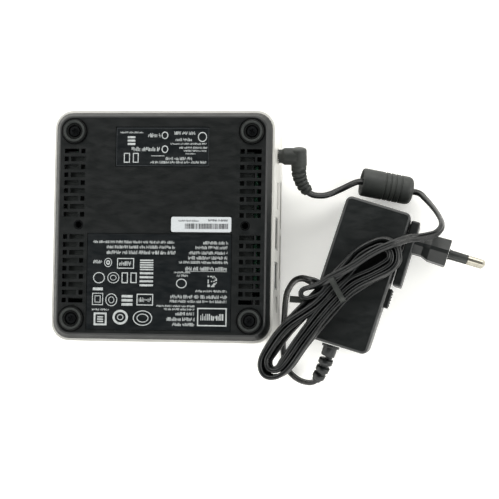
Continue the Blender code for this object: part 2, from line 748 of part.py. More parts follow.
def boot_route():
    return smooth_route([
        plug_leg(BOOT_START, LEG_X), plug_leg(8.2, LEG_X - 0.1),
        (67.3, 26.0, 21.0), (68.8, 22.8, 19.5), (71.2, 19.9, 18.1)], 1.8)


PLUG_CORD = [
    (71.9, 19.3, 17.7), (74.6, 18.4, 16.0), (78.6, 18.5, 13.1), (82.2, 19.6, 11.0),
    (86.4, 21.6, 9.7), (90.6, 23.6, 9.9), (94.2, 25.2, 11.2), (97.7, 26.0, 12.3)]

MIDDLE_CORD = [
    (125.4, 21.2, 6.8), (128.4, 20.3, 7.6), (131.6, 16.8, 13.0), (134.4, 13.2, 18.8),
    (136.9, 9.3, 25.6), (138.7, 5.6, 32.4), (139.4, 2.8, 38.0), (138.9, 0.1, 42.0),
    (136.4, -2.6, 43.5), (132.8, -3.8, 43.5), (128.0, -4.7, 43.6), (122.6, -6.3, 44.2)]

SUPPLY_CORD = [
    (77.3, -27.6, 42.9), (74.2, -26.5, 41.6), (70.5, -25.4, 38.0), (66.6, -26.0, 31.5),
    (63.4, -28.4, 24.0), (60.7, -32.4, 16.0), (59.3, -37.6, 9.0), (58.5, -44.0, 4.0),
    (58.0, -52.0, 2.2), (57.9, -60.0, 2.0), (58.7, -67.2, 2.0), (60.9, -72.4, 2.1),
    (64.3, -75.9, 2.9), (68.4, -77.9, 5.6), (72.8, -78.4, 9.8), (75.9, -77.3, 13.0)]

# The hank's outer shape along its length: centre x, centre y, low z, high z, half of its width
HANK_STATIONS = [
    (119.7, -12.6, 43.2, 48.8, 4.5), (116.8, -12.6, 42.6, 51.6, 8.0),
    (110.5, -14.0, 42.5, 53.6, 9.8), (102.5, -18.6, 42.5, 54.0, 10.0),
    (94.5, -25.0, 42.5, 53.8, 8.8), (88.5, -30.6, 42.5, 51.8, 8.0),
    (79.6, -40.2, 43.6, 51.4, 8.2), (69.6, -51.2, 45.4, 52.0, 8.6),
    (61.2, -62.2, 45.0, 51.8, 9.6), (56.6, -70.0, 43.8, 50.4, 8.2),
    (53.4, -74.6, 43.2, 48.4, 4.6)]
TIE_STATION = 5


def hank_section(index, extra=0.0):
    """An eight-sided cross-section of the hank at one of its stations."""
    x, y, low, high, half = HANK_STATIONS[index]
    before = HANK_STATIONS[max(index - 1, 0)]
    after = HANK_STATIONS[min(index + 1, len(HANK_STATIONS) - 1)]
    along = Vector((after[0] - before[0], after[1] - before[1], 0.0)).normalized()
    across = Vector((-along.y, along.x, 0.0))
    centre = Vector((x, y, (low + high) / 2))
    half_height = (high - low) / 2 + extra
    width = half + extra
    corners = ((1.0, 0.45), (0.72, 1.0), (-0.72, 1.0), (-1.0, 0.45),
               (-1.0, -0.45), (-0.72, -1.0), (0.72, -1.0), (1.0, -0.45))
    return [centre + across * width * u + Vector((0, 0, half_height * v)) for u, v in corners]


def make_cords(materials):
    rubber = materials["cord_black"]
    for name, points in (
            ("cord_plug_stretch", PLUG_CORD),
            ("cord_middle_stretch", MIDDLE_CORD),
            ("cord_supply_stretch", SUPPLY_CORD)):
        curve = tube_curve(name, smooth_route(points, 2.4 * 2 * CORD_RADIUS), CORD_RADIUS)
        add_object(name, curve, rubber)
    sections = [hank_section(index) for index in range(len(HANK_STATIONS))]
    add_object("cord_hank", loft_mesh("cord_hank", sections), rubber)
    make_twist_tie(materials)


def make_twist_tie(materials):
    """A flat band round the bundle, a little larger than the bundle's cross-section."""
    before, after = HANK_STATIONS[TIE_STATION - 1], HANK_STATIONS[TIE_STATION + 1]
    along = Vector((after[0] - before[0], after[1] - before[1], 0.0)).normalized() * 1.5
    inner = hank_section(TIE_STATION, 0.45)
    outer = hank_section(TIE_STATION, 1.15)
    shape = bmesh.new()
    rings = []
    for points, shift in ((inner, -along), (outer, -along), (outer, along), (inner, along)):
        rings.append([shape.verts.new(point + shift) for point in points])
    count = len(rings[0])
    for near, far in zip(rings, rings[1:] + rings[:1]):
        for i in range(count):
            j = (i + 1) % count
            shape.faces.new((near[i], near[j], far[j], far[i]))
    add_object("twist_tie", finish_mesh(shape, "twist_tie"), materials["cord_black"])


def make_plug(materials):
    """The right-angled plug: an arm with a narrower neck, an upright leg, its barrel and its boot."""
    jack = at(0.0, JACK_Y, JACK_Z)
    dip = Matrix.Rotation(PLUG_TILT, 4, "X")
    arm = [(0.0, LEG_X), (ARM_RADIUS, LEG_X), (ARM_RADIUS, 59.4), (ARM_RADIUS - 0.9, 58.0),
           (ARM_RADIUS - 0.9, 56.4), (0.0, 56.4)]
    body = turned("dc_plug", arm, materials["plug_black"], jack @ dip @ AXIS_TURNS["X"], 24)
    leg = [(0.0, ARM_RADIUS), (LEG_RADIUS - 1.4, ARM_RADIUS), (LEG_RADIUS - 0.5, ARM_RADIUS - 0.4),
           (LEG_RADIUS, ARM_RADIUS - 1.5), (LEG_RADIUS, GAP - BOOT_START), (0.0, GAP - BOOT_START)]
    upright = turned("plug_leg", leg, materials["plug_black"],
                     jack @ dip @ at(LEG_X, 0.0, 0.0) @ AXIS_TURNS["Y"], 24)
    join(body, upright)
    barrel = [(1.35, 56.1), (2.75, 56.1), (2.75, 44.0), (1.35, 44.0)]
    turned("dc_plug_barrel", barrel, materials["nickel"], jack @ AXIS_TURNS["X"], 20)
    route = boot_route()
    taper = [3.9 - 0.9 * index / (len(route) - 1) for index in range(len(route))]
    add_object("dc_plug_boot", tube_curve("dc_plug_boot", route, taper, 4), materials["plug_black"])


def make_ferrite(materials):
    """The ferrite's moulded sleeve: a dished end, four ring grooves and a rounded end."""
    half = FERRITE_LENGTH / 2
    radius = FERRITE_RADIUS
    profile = [(0.0, half), (4.9, half), (6.6, half - 0.8), (radius, half - 2.6)]
    for place in (6.6, 3.6, 1.0, -1.6):
        profile += [(radius, place + 0.5), (radius - 0.6, place), (radius, place - 0.5)]
    profile += [(radius, -half + 3.0), (6.7, -half + 1.6), (5.6, -half), (4.0, -half),
                (3.2, -half + 1.2), (0.0, -half + 1.2)]
    x, y, z = FERRITE_CENTRE
    tilt = Matrix.Rotation(FERRITE_TILT, 4, "Y")
    matrix = at(x, y, z) @ Matrix.Rotation(FERRITE_TURN, 4, "Z") @ tilt @ AXIS_TURNS["X"]
    turned("ferrite_choke", profile, materials["plug_black"], matrix, 24)


# ---------------------------------------------------------------- power supply

def supply_matrix():
    return at(*SUPPLY_AT) @ Matrix.Rotation(SUPPLY_TURN, 4, "Z")


def inset_outline(outline, amount, radius, steps=4):
    """A four-sided outline, counter-clockwise, moved inwards with its corners rounded."""
    points = []
    count = len(outline)
    for i in range(count):
        corner = Vector(outline[i])
        back = (Vector(outline[i - 1]) - corner).normalized()
        ahead = (Vector(outline[(i + 1) % count]) - corner).normalized()
        half_angle = back.angle(ahead) / 2
        inward = (back + ahead).normalized()
        centre = corner + inward * (amount + radius) / math.sin(half_angle)
        start = math.degrees(math.atan2(back.x, -back.y))
        sweep = 180.0 - math.degrees(2 * half_angle)
        points += arc((centre.x, centre.y), radius, start, start + sweep, steps)
    return points


def make_supply_case(materials):
    """Two shells that meet half way up, with a window for the plug head's release latch."""
    outline = SUPPLY_OUTLINE
    wall = 2.0
    window = [((10.0, -10.9, 13.7), (20.0, -0.1, 27.3))]
    upper = stack_mesh("supply_case_upper", [
        (inset_outline(outline, 0.0, 3.0), SUPPLY_SPLIT + GAP / 2),
        (inset_outline(outline, 0.0, 3.0), SUPPLY_HIGH - 1.2),
        (inset_outline(outline, 0.4, 2.6), SUPPLY_HIGH - 0.4),
        (inset_outline(outline, 1.2, 1.8), SUPPLY_HIGH)])
    lower = stack_mesh("supply_case_lower", [
        (inset_outline(outline, 1.2, 1.8), 0.0),
        (inset_outline(outline, 0.4, 2.6), 0.4),
        (inset_outline(outline, 0.0, 3.0), 1.2),
        (inset_outline(outline, 0.0, 3.0), SUPPLY_SPLIT - GAP / 2)])
    for name, mesh in (("supply_case_upper", upper), ("supply_case_lower", lower)):
        shell = add_object(name, mesh, materials["supply_black"], supply_matrix(), smooth=35.0)
        hollow = stack_mesh(name + "_hollow", [
            (inset_outline(outline, wall, 1.2), wall),
            (inset_outline(outline, wall, 1.2), SUPPLY_HIGH - wall)])
        combine(shell, hollow)
        combine(shell, boxes_mesh(name + "_window", window))


def make_supply_inside(materials):
    matrix = supply_matrix()
    board = boxes_mesh("supply_board", [((-15.9, -32.0, 3.0), (-14.3, 33.0, 38.0))])
    add_object("supply_board", board, materials["board_brown"], matrix)
    core = boxes_mesh("transformer", [((-14.0, -4.0, 9.0), (1.0, 20.0, 32.0))])
    transformer = add_object("transformer", core, materials["tape_yellow"], matrix)
    bevel(transformer, 1.0, 1)
    can = rods_mesh("smoothing_capacitor", [((-5.5, -18.0, 20.5), 7.5, 24.0, "Z")])
    add_object("smoothing_capacitor", can, materials["capacitor"], matrix, smooth=35.0)


def make_supply_boot(materials):
    route = [supply_matrix() @ (Vector(point) * MM) / MM for point in (
        (-5.2, -36.7, 19.8), (-5.2, -38.2, 19.8), (-5.3, -42.5, 19.3), (-5.5, -46.5, 18.4),
        (-6.0, -50.5, 17.0), (-6.8, -54.0, 15.2), (-7.5, -56.2, 13.9))]
    radii = [4.4, 4.3, 3.8, 3.6, 3.4, 2.9, 2.4]
    add_object("supply_boot", tube_curve("supply_boot", route, radii, 4), materials["plug_black"])


def hexagon(x, half_thick, half_wide, shoulder):
    """The plug body's cross-section: an upright lozenge with straight sides."""
    middle = (HEAD_Z[0] + HEAD_Z[1]) / 2
    points = [(half_thick, -shoulder), (half_thick, shoulder), (0.9, half_wide),
              (-0.9, half_wide), (-half_thick, shoulder), (-half_thick, -shoulder),
              (-0.9, -half_wide), (0.9, -half_wide)]
    return [(x, PLUG_Y + y, middle + z) for y, z in points]


def make_plug_head(materials):
    """The clip-on head: a plate on the supply's side, and the two-pin plug that stands out of it."""
    matrix = supply_matrix()
    plate = boxes_mesh("plug_head", [((15.9, HEAD_Y[0], HEAD_Z[0]), (20.4, HEAD_Y[1], HEAD_Z[1]))])
    head = add_object("plug_head", plate, materials["supply_black"], matrix)
    bevel(head, 0.8, 2)
    body = loft_mesh("plug_body", [
        hexagon(19.0, 5.2, 14.4, 9.5), hexagon(25.0, 5.0, 14.0, 9.3),
        hexagon(28.6, 6.4, 17.0, 10.5), hexagon(37.6, 6.7, 17.4, 10.8),
        hexagon(38.0, 6.3, 17.0, 10.5)])
    combine(head, body, "UNION")
    middle = (HEAD_Z[0] + HEAD_Z[1]) / 2
    for name, side in (("pin_upper", 1), ("pin_lower", -1)):
        profile = [(0.0, 57.2), (1.1, 57.0), (1.8, 56.3), (PIN_RADIUS, 55.4),
                   (PIN_RADIUS, 48.3), (1.75, 48.3), (1.75, 38.3), (0.0, 38.3)]
        place = matrix @ at(0.0, PLUG_Y, middle + side * PIN_SPREAD) @ AXIS_TURNS["X"]
        turned(name, profile, materials["brass"], place, 20)
    latch = boxes_mesh("release_latch", [((12.0, -10.5, 14.0), (16.9, -0.5, 27.0))])
    lever = add_object("release_latch", latch, materials["supply_black"], matrix)
    bevel(lever, 0.5, 1)


def make_materials():
    return {
        "gloss_black": principled("gloss_black", (0.012, 0.012, 0.013), 0.12),
        "silver": principled("silver", (0.72, 0.70, 0.62), 0.38, 0.55),
        "cover_black": principled("cover_black", (0.020, 0.024, 0.024), 0.42),
        "rubber": principled("rubber", (0.035, 0.037, 0.036), 0.72),
        "steel": principled("steel", (0.56, 0.57, 0.58), 0.34, 1.0),
        "aluminium": principled("aluminium", (0.66, 0.67, 0.68), 0.42, 1.0),
        "copper": principled("copper", (0.72, 0.36, 0.20), 0.30, 1.0),
        "nickel": principled("nickel", (0.66, 0.64, 0.60), 0.22, 1.0),
        "brass": principled("brass", (0.72, 0.62, 0.40), 0.28, 1.0),
        "board_green": principled("board_green", (0.02, 0.10, 0.06), 0.45),
        "board_brown": principled("board_brown", (0.30, 0.20, 0.09), 0.55),
        "black_plastic": principled("black_plastic", (0.02, 0.02, 0.02), 0.48),
        "dark_window": principled("dark_window", (0.02, 0.005, 0.008), 0.08),
        "button": principled("button", (0.03, 0.03, 0.03), 0.3),
        "label_dark": principled("label_dark", (0.014, 0.015, 0.016), 0.30),
        "label_white": principled("label_white", (0.80, 0.83, 0.86), 0.45),
        "cord_black": principled("cord_black", (0.030, 0.031, 0.029), 0.50),
        "plug_black": principled("plug_black", (0.034, 0.034, 0.031), 0.52),
        "supply_black": principled("supply_black", (0.022, 0.024, 0.023), 0.42),
        "tape_yellow": principled("tape_yellow", (0.75, 0.62, 0.12), 0.40),
        "capacitor": principled("capacitor", (0.05, 0.07, 0.20), 0.35),
    }


def main():
    clear_scene()
    new_collection(PARTS)
    new_collection(CUTTERS)
    materials = make_materials()
    make_lid(materials)
    make_side_frame(materials)
    make_io_plate(materials)
    make_connectors(materials)
    make_board(materials)
    make_memory(materials)
    make_wireless(materials)
    make_cooling(materials)
    make_power_button(materials)
    make_cover(materials)
    make_labels(materials)
    make_feet(materials)
    make_storage(materials)
    make_plug(materials)
    make_ferrite(materials)
    make_cords(materials)
    make_supply_case(materials)
    make_supply_inside(materials)
    make_supply_boot(materials)
    make_plug_head(materials)


main()
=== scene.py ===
"""Looks of a small square mini PC that lies on its lid, with its plug-in supply and hanked lead.

Lengths are in millimetres and MM turns them into metres. +Z points out through the underside,
+X through the rear connectors.
"""

import fnmatch
import math
import random

import bmesh
import bpy
from mathutils import Matrix, Vector


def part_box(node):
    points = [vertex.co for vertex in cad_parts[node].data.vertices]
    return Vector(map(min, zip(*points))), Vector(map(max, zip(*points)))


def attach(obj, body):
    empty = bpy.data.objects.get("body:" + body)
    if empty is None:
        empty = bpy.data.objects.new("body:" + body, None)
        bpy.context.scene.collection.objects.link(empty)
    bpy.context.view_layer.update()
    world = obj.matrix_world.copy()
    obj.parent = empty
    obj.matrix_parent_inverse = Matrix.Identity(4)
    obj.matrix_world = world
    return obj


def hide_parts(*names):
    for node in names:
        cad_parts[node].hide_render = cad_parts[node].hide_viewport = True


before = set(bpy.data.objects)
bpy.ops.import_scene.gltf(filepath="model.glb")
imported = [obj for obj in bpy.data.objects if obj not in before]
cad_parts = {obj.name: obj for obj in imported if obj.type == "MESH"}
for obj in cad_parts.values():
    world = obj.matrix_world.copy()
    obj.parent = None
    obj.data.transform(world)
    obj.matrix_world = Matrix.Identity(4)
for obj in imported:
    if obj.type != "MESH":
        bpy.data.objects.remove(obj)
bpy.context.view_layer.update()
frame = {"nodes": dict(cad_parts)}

MM = 0.001


def node_box(node):
    """Lowest and highest corner of a CAD node, in millimetres."""
    low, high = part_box(node)
    return low / MM, high / MM


# Camera: nearly straight down, a little to the right of the PC
CAMERA_AT = (127.15, -50.43, 800.0)
CAMERA_TILT = (0.05124, 0.10959, 0.01515)
CAMERA_LENS = 109.82

# The power supply's own frame: +Y towards the plug end, +X out through the plug's side
SUPPLY_AT = (99.4, -25.0, 0.0)
SUPPLY_TURN = math.radians(-16.5)
PIN_Y = 25.2
PIN_Z = 20.45
PIN_SPREAD = 9.2

# Angled plug and ferrite
JACK_Y = 37.5
JACK_Z = 25.7
PLUG_TILT = math.radians(20.0)
LEG_X = 66.65
BOOT_START = 5.0
FERRITE_CENTRE = (111.3, 23.75, 9.5)
FERRITE_TURN = math.radians(-9.7)
FERRITE_TILT = math.radians(12.0)
FERRITE_LENGTH = 27.0

# Lead: a flat twin cord that bends across its thin side
CORD_WIDE = 4.6
CORD_THIN = 2.4
LOBE = CORD_THIN / 2
RIB_DEPTH = 0.09
RING_SPACING = 1.3
HANK_TURNS = 6

PLUG_CORD = [
    (71.9, 19.3, 17.7), (74.6, 18.4, 16.0), (78.6, 18.5, 13.1), (82.2, 19.6, 11.0),
    (86.4, 21.6, 9.7), (90.6, 23.6, 9.9), (94.2, 25.2, 11.2), (97.7, 26.0, 12.3)]

MIDDLE_CORD = [
    (125.4, 21.2, 6.8), (128.4, 20.3, 7.6), (131.6, 16.8, 13.0), (134.4, 13.2, 18.8),
    (136.9, 9.3, 25.6), (138.7, 5.6, 32.4), (139.4, 2.8, 38.0), (138.9, 0.1, 42.0),
    (136.4, -2.6, 43.5), (132.8, -3.8, 43.5), (128.0, -4.7, 43.6)]

SUPPLY_CORD = [
    (77.3, -27.6, 42.9), (74.2, -26.5, 41.6), (70.5, -25.4, 38.0), (66.6, -26.0, 31.5),
    (63.4, -28.4, 24.0), (60.7, -32.4, 16.0), (59.3, -37.6, 9.0), (58.5, -44.0, 4.0),
    (58.0, -52.0, 2.2), (57.9, -60.0, 2.0), (58.7, -67.2, 2.0), (60.9, -72.4, 2.1),
    (64.3, -75.9, 2.9), (68.4, -77.9, 5.6), (72.8, -78.4, 9.8), (75.9, -77.3, 13.0)]

# The hank along its length: centre x, centre y, low z, half of its width
HANK_STATIONS = [
    (119.7, -12.6, 43.2, 4.5), (116.8, -12.6, 42.6, 8.0), (110.5, -14.0, 42.5, 9.8),
    (102.5, -18.6, 42.5, 10.0), (94.5, -25.0, 42.5, 8.8), (88.5, -30.6, 42.5, 8.0),
    (79.6, -40.2, 43.6, 8.2), (69.6, -51.2, 45.4, 8.6), (61.2, -62.2, 45.0, 9.6),
    (56.6, -70.0, 43.8, 8.2), (53.4, -74.6, 43.2, 4.6)]
TIE_STATION = 5
TIE_Z = 47.8                   # middle and half of the tie's height
TIE_HALF_Z = 6.3
TIE_SQUARENESS = 0.45
UPPER_LOOP = 2.0               # stations where the turns at its ends start
LOWER_LOOP = 8.4
PINCHED = (3.2, 6.3)           # stretch where the tie draws the strands together
EDGE_INSET = 1.3               # from the hank's edge to its outermost strand
STRAND_PITCH = 2.5
TIGHTEST_TURN = 2.4
LAYER_RISE = 4.2
LOOSENESS = 0.22               # how far a strand strays, except under the tie
SWELL = (5.4, 1.1)             # station and height of the hump beside the tie

# Mounting holes in the cover
VESA_X = 42.2

WORLD_STRENGTH = 1.6
FLOOR_SIZE = 3000.0
AREA_PER_SMALL_PART = 9        # square millimetres of the main board
WAVE_PERIOD = 0.314            # spacing of a wave texture's bands at a scale of 1

LABEL_TOP = node_box("regulatory_label")[1].z
BOARD_TOP = node_box("motherboard")[1].z

PIECES = bpy.data.collections.new("looks")
bpy.context.scene.collection.children.link(PIECES)
CUTTERS = bpy.data.collections.new("cutters")
bpy.context.scene.collection.children.link(CUTTERS)


# ---- shapes ----

def add_piece(name, mesh, look, body, smooth=35.0):
    """A new visible piece, shaded smooth below an angle, that rides on a body."""
    mesh.name = name
    obj = bpy.data.objects.new(name, mesh)
    PIECES.objects.link(obj)
    mesh.materials.append(MATERIALS[look])
    if smooth:
        mesh.shade_smooth()
        mesh.set_sharp_from_angle(angle=math.radians(smooth))
    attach(obj, body)
    return obj


def finish_mesh(shape, matrix=None):
    """Turn a bmesh drawn in millimetres into a mesh in metres."""
    if matrix is not None:
        bmesh.ops.transform(shape, matrix=matrix, verts=shape.verts)
    bmesh.ops.scale(shape, vec=(MM, MM, MM), verts=shape.verts)
    bmesh.ops.recalc_face_normals(shape, faces=shape.faces)
    mesh = bpy.data.meshes.new("shape")
    shape.to_mesh(mesh)
    shape.free()
    return mesh


def add_box(shape, low, high):
    size = [high[i] - low[i] for i in range(3)]
    centre = [(high[i] + low[i]) / 2 for i in range(3)]
    matrix = Matrix.Translation(centre) @ Matrix.Diagonal((*size, 1.0))
    bmesh.ops.create_cube(shape, size=1.0, matrix=matrix)


def boxes_mesh(boxes, matrix=None):
    shape = bmesh.new()
    for low, high in boxes:
        add_box(shape, low, high)
    return finish_mesh(shape, matrix)


def add_loft(shape, sections, closed=False):
    """A body through rings of points, capped at both ends or closed on itself."""
    rings = [[shape.verts.new(point) for point in section] for section in sections]
    count = len(rings[0])
    for near, far in zip(rings, rings[1:] + rings[:1] if closed else rings[1:]):
        for i in range(count):
            j = (i + 1) % count
            shape.faces.new((near[i], near[j], far[j], far[i]))
    if not closed:
        shape.faces.new(list(reversed(rings[0])))
        shape.faces.new(rings[-1])


def loft_mesh(sections, closed=False):
    shape = bmesh.new()
    add_loft(shape, sections, closed)
    return finish_mesh(shape)


def circle(radius, height=0.0, centre=(0.0, 0.0), segments=48):
    angles = [2 * math.pi * index / segments for index in range(segments)]
    return [Vector((centre[0] + radius * math.cos(angle), centre[1] + radius * math.sin(angle),
                    height)) for angle in angles]


def turned_mesh(profile, matrix=None, segments=64, closed=False):
    """A profile of (radius, height) points turned about Z: capped, or closed into a ring."""
    shape = bmesh.new()
    sections = [circle(radius, height, segments=segments) for radius, height in profile]
    add_loft(shape, sections, closed)
    return finish_mesh(shape, matrix)


def smooth_line(points, spacing):
    """Evenly spaced points on a smooth curve; values after the first three go along."""
    steps = 12
    knots = [list(point) for point in points]
    first = [2 * a - b for a, b in zip(knots[0], knots[1])]
    last = [2 * a - b for a, b in zip(knots[-1], knots[-2])]
    ends = [first] + knots + [last]
    fine = []
    for before, start, end, after in zip(ends, ends[1:], ends[2:], ends[3:]):
        for step in range(steps):
            t = step / steps
            fine.append([0.5 * (
                2 * b + (c - a) * t + (2 * a - 5 * b + 4 * c - d) * t ** 2
                + (3 * b - a - 3 * c + d) * t ** 3) for a, b, c, d in zip(before, start, end, after)])
    fine.append(knots[-1])
    gaps = [math.dist(a[:3], b[:3]) for a, b in zip(fine, fine[1:])]
    length = sum(gaps)
    count = max(2, round(length / spacing))
    result = [fine[0]]
    travelled = 0.0
    for a, b, gap in zip(fine, fine[1:], gaps):
        while len(result) < count and travelled + gap >= length * len(result) / count:
            part = (length * len(result) / count - travelled) / gap
            result.append([x + (y - x) * part for x, y in zip(a, b)])
        travelled += gap
    result.append(fine[-1])
    return result


def frames_along(line):
    """For each point of a line: its place, its direction, and two directions across it."""
    places = [Vector(point[:3]) for point in line]
    frames = []
    for index, place in enumerate(places):
        ahead = places[min(index + 1, len(places) - 1)]
        behind = places[max(index - 1, 0)]
        along = (ahead - behind).normalized()
        upright = (Vector((0.0, 0.0, 1.0)) - along * along.z).normalized()
        frames.append((place, along, upright, along.cross(upright)))
    return frames


def bevel(obj, width, segments=2, angle=40.0):
    modifier = obj.modifiers.new("Bevel", "BEVEL")
    modifier.width = width * MM
    modifier.segments = segments
    modifier.limit_method = "ANGLE"
    modifier.angle_limit = math.radians(angle)
    return modifier


def cut(obj, mesh):
    """Cut a mesh out of an object."""
    cutter = bpy.data.objects.new("cutter_" + obj.name, mesh)
    CUTTERS.objects.link(cutter)
    cutter.hide_render = True
    modifier = obj.modifiers.new("Cut", "BOOLEAN")
    modifier.operation = "DIFFERENCE"
    modifier.object = cutter


def supply_matrix():
    return Matrix.Translation(SUPPLY_AT) @ Matrix.Rotation(SUPPLY_TURN, 4, "Z")


def plug_matrix():
    return Matrix.Translation((0.0, JACK_Y, JACK_Z)) @ Matrix.Rotation(PLUG_TILT, 4, "X")


def ferrite_matrix():
    """+Z runs along the ferrite's axis, away from the PC."""
    return (Matrix.Translation(FERRITE_CENTRE) @ Matrix.Rotation(FERRITE_TURN, 4, "Z")
            @ Matrix.Rotation(FERRITE_TILT, 4, "Y") @ Matrix.Rotation(math.pi / 2, 4, "Y"))


# ---- materials ----

def srgb(red, green, blue):
    """A screen colour, 0 to 255, as the linear colour that a shader takes."""
    linear = []
    for value in (red, green, blue):
        part = value / 255
        linear.append(part / 12.92 if part <= 0.04045 else ((part + 0.055) / 1.055) ** 2.4)
    return (*linear, 1.0)


class Look:
    """A Principled material whose nodes are read in the object's own coordinates."""

    def __init__(self, name, roughness=0.5, metallic=0.0, coat=0.0, specular=0.5):
        self.material = bpy.data.materials.new(name)
        self.material.use_nodes = True
        self.tree = self.material.node_tree
        self.shader = self.tree.nodes["Principled BSDF"]
        self.set("Roughness", roughness)
        self.set("Metallic", metallic)
        self.set("Coat Weight", coat)
        self.set("Specular IOR Level", specular)
        self.place = self.tree.nodes.new("ShaderNodeTexCoord").outputs["Object"]
        self.normal = None

    def feed(self, socket, value):
        """Link another node's output to a socket, or give the socket a plain value."""
        if isinstance(value, bpy.types.NodeSocket):
            self.tree.links.new(value, socket)
        else:
            socket.default_value = value

    def set(self, name, value):
        self.feed(self.shader.inputs[name], value)

    def new(self, kind, **inputs):
        node = self.tree.nodes.new(kind)
        for name, value in inputs.items():
            self.feed(node.inputs[name.replace("_", " ")], value)
        return node

    def stretched(self, stretch):
        return self.new("ShaderNodeMapping", Vector=self.place, Scale=stretch).outputs["Vector"]

    def noise(self, size, detail=4.0, stretch=(1.0, 1.0, 1.0), distortion=0.0):
        """Cloudy noise with features of about a size in millimetres."""
        node = self.new("ShaderNodeTexNoise", Vector=self.stretched(stretch), Scale=1 / (size * MM),
                        Detail=detail, Distortion=distortion)
        return node.outputs["Fac"]

    def cells(self, size, randomness=1.0):
        node = self.new("ShaderNodeTexVoronoi", Vector=self.place, Scale=1 / (size * MM),
                        Randomness=randomness)
        return node.outputs["Distance"]

    def waves(self, spacing, direction, distortion=0.0):
        node = self.new("ShaderNodeTexWave", Vector=self.place, Scale=WAVE_PERIOD / (spacing * MM),
                        Distortion=distortion, Detail=1.0)
        node.bands_direction = direction
        return node.outputs["Fac"]

    def ramp(self, value, *stops):
        """A colour ramp: each stop is (place, colour)."""
        node = self.new("ShaderNodeValToRGB", Fac=value)
        elements = node.color_ramp.elements
        while len(elements) < len(stops):
            elements.new(0.5)
        for element, (place, colour) in zip(elements, stops):
            element.position = place
            element.color = colour
        return node.outputs["Color"]

    def remap(self, value, low, high, start=0.35, end=0.65):
        node = self.new("ShaderNodeMapRange", Value=value, From_Min=start, From_Max=end,
                        To_Min=low, To_Max=high)
        return node.outputs["Result"]

    def mix(self, value, first, second):
        node = self.tree.nodes.new("ShaderNodeMix")
        node.data_type = "RGBA"
        for index, given in ((0, value), (6, first), (7, second)):
            self.feed(node.inputs[index], given)
        return node.outputs[2]

    def tones(self, clouds, dark, light, wear, rough):
        """Two shades mixed by one noise, and a range of roughness by another."""
        self.set("Base Color", self.ramp(clouds, (0.3, srgb(*dark)), (0.7, srgb(*light))))
        self.set("Roughness", self.remap(wear, *rough))

    def bump(self, height, depth, strength=1.0):
        """Relief of a depth in millimetres, added to any relief before it."""
        node = self.new("ShaderNodeBump", Height=height, Strength=strength, Distance=depth * MM)
        if self.normal is not None:
            self.feed(node.inputs["Normal"], self.normal)
        self.normal = node.outputs["Normal"]
        self.set("Normal", self.normal)


def moulded(name, dark, light, rough, grain, depth, blotch, specular):
    """Moulded plastic: fine spark-eroded grain, faint blotches and handling marks."""
    look = Look(name, specular=specular)
    marks = look.noise(blotch / 3, 6.0, (1.0, 2.4, 1.0), 0.4)
    look.tones(look.noise(blotch, 5.0), dark, light, marks, rough)
    look.bump(look.noise(grain, 2.0), depth)
    return look


def make_black_gloss():
    look = moulded("lid_gloss", (9, 9, 10), (14, 14, 16), (0.08, 0.16), 2.5, 0.004, 30.0, 0.5)
    look.set("Coat Weight", 0.6)
    dust = look.remap(look.cells(3.0), 1.0, 0.0, 0.02, 0.06)
    base = look.ramp(look.noise(30.0), (0.3, srgb(9, 9, 10)), (0.7, srgb(13, 13, 15)))
    look.set("Base Color", look.mix(dust, base, srgb(60, 60, 62)))
    return look.material


def make_silver():
    """Satin silver paint: very fine metal flake with slow variation."""
    look = Look("frame_silver", 0.38, 0.25, specular=0.5)
    flake = look.cells(0.22)
    clouds = look.noise(22.0, 4.0)
    base = look.ramp(clouds, (0.3, srgb(200, 199, 194)), (0.7, srgb(212, 211, 206)))
    look.set("Base Color", look.mix(look.remap(flake, 0.14, 0.0, 0.0, 0.5), base, srgb(168, 168, 164)))
    look.set("Roughness", look.remap(look.noise(7.0, 5.0), 0.32, 0.44))
    look.bump(flake, 0.004)
    return look.material


def make_cover():
    look = moulded("cover_plastic", (7, 10, 10), (10, 13, 13), (0.36, 0.46), 0.45, 0.012, 24.0, 0.36)
    look.bump(look.noise(9.0, 8.0, (0.25, 3.0, 1.0), 0.6), 0.0012)
    return look.material


def metal(name, dark, light, rough):
    """Rolled or brushed metal with its lines along X."""
    look = Look(name, metallic=1.0)
    lines = look.noise(6.0, 6.0, (1.0, 30.0, 30.0))
    look.tones(lines, dark, light, look.noise(6.0 * 1.7, 3.0), rough)
    look.bump(lines, 0.004)
    return look.material


def make_board(name, *colours):
    """Solder mask over a pattern of traces, with small bare pads."""
    low, high, trace, copper = [srgb(*colour) for colour in colours]
    look = Look(name, 0.35, specular=0.5)
    zones = look.remap(look.noise(9.0, 2.0), 0.0, 1.0, 0.47, 0.53)
    lines = look.mix(zones, look.waves(1.1, "X", 1.2), look.waves(1.4, "DIAGONAL", 0.8))
    strips = look.ramp(lines, (0.55, (0, 0, 0, 1)), (0.72, (1, 1, 1, 1)))
    base = look.ramp(look.noise(14.0), (0.3, low), (0.7, high))
    masked = look.mix(strips, base, trace)
    pads = look.remap(look.cells(2.2), 1.0, 0.0, 0.10, 0.14)
    look.set("Base Color", look.mix(pads, masked, copper))
    look.bump(strips, 0.02)
    look.bump(look.noise(0.6), 0.006)
    return look.material


def make_cord_rubber():
    """Soft vinyl cord: near black with long extrusion lines and a dull bloom."""
    look = Look("cord_vinyl", specular=0.36)
    look.tones(look.noise(11.0, 5.0), (6, 8, 8), (12, 14, 14), look.noise(3.0, 4.0), (0.24, 0.38))
    look.bump(look.noise(0.5, 3.0), 0.01)
    return look.material


def make_label_film():
    look = Look("label_film", 0.4, specular=0.35)
    wear = look.noise(6.0, 4.0, (1.0, 3.0, 1.0))
    look.tones(look.noise(18.0, 4.0), (8, 12, 14), (11, 15, 17), wear, (0.3, 0.42))
    look.bump(look.noise(0.9, 2.0), 0.004)
    return look.material


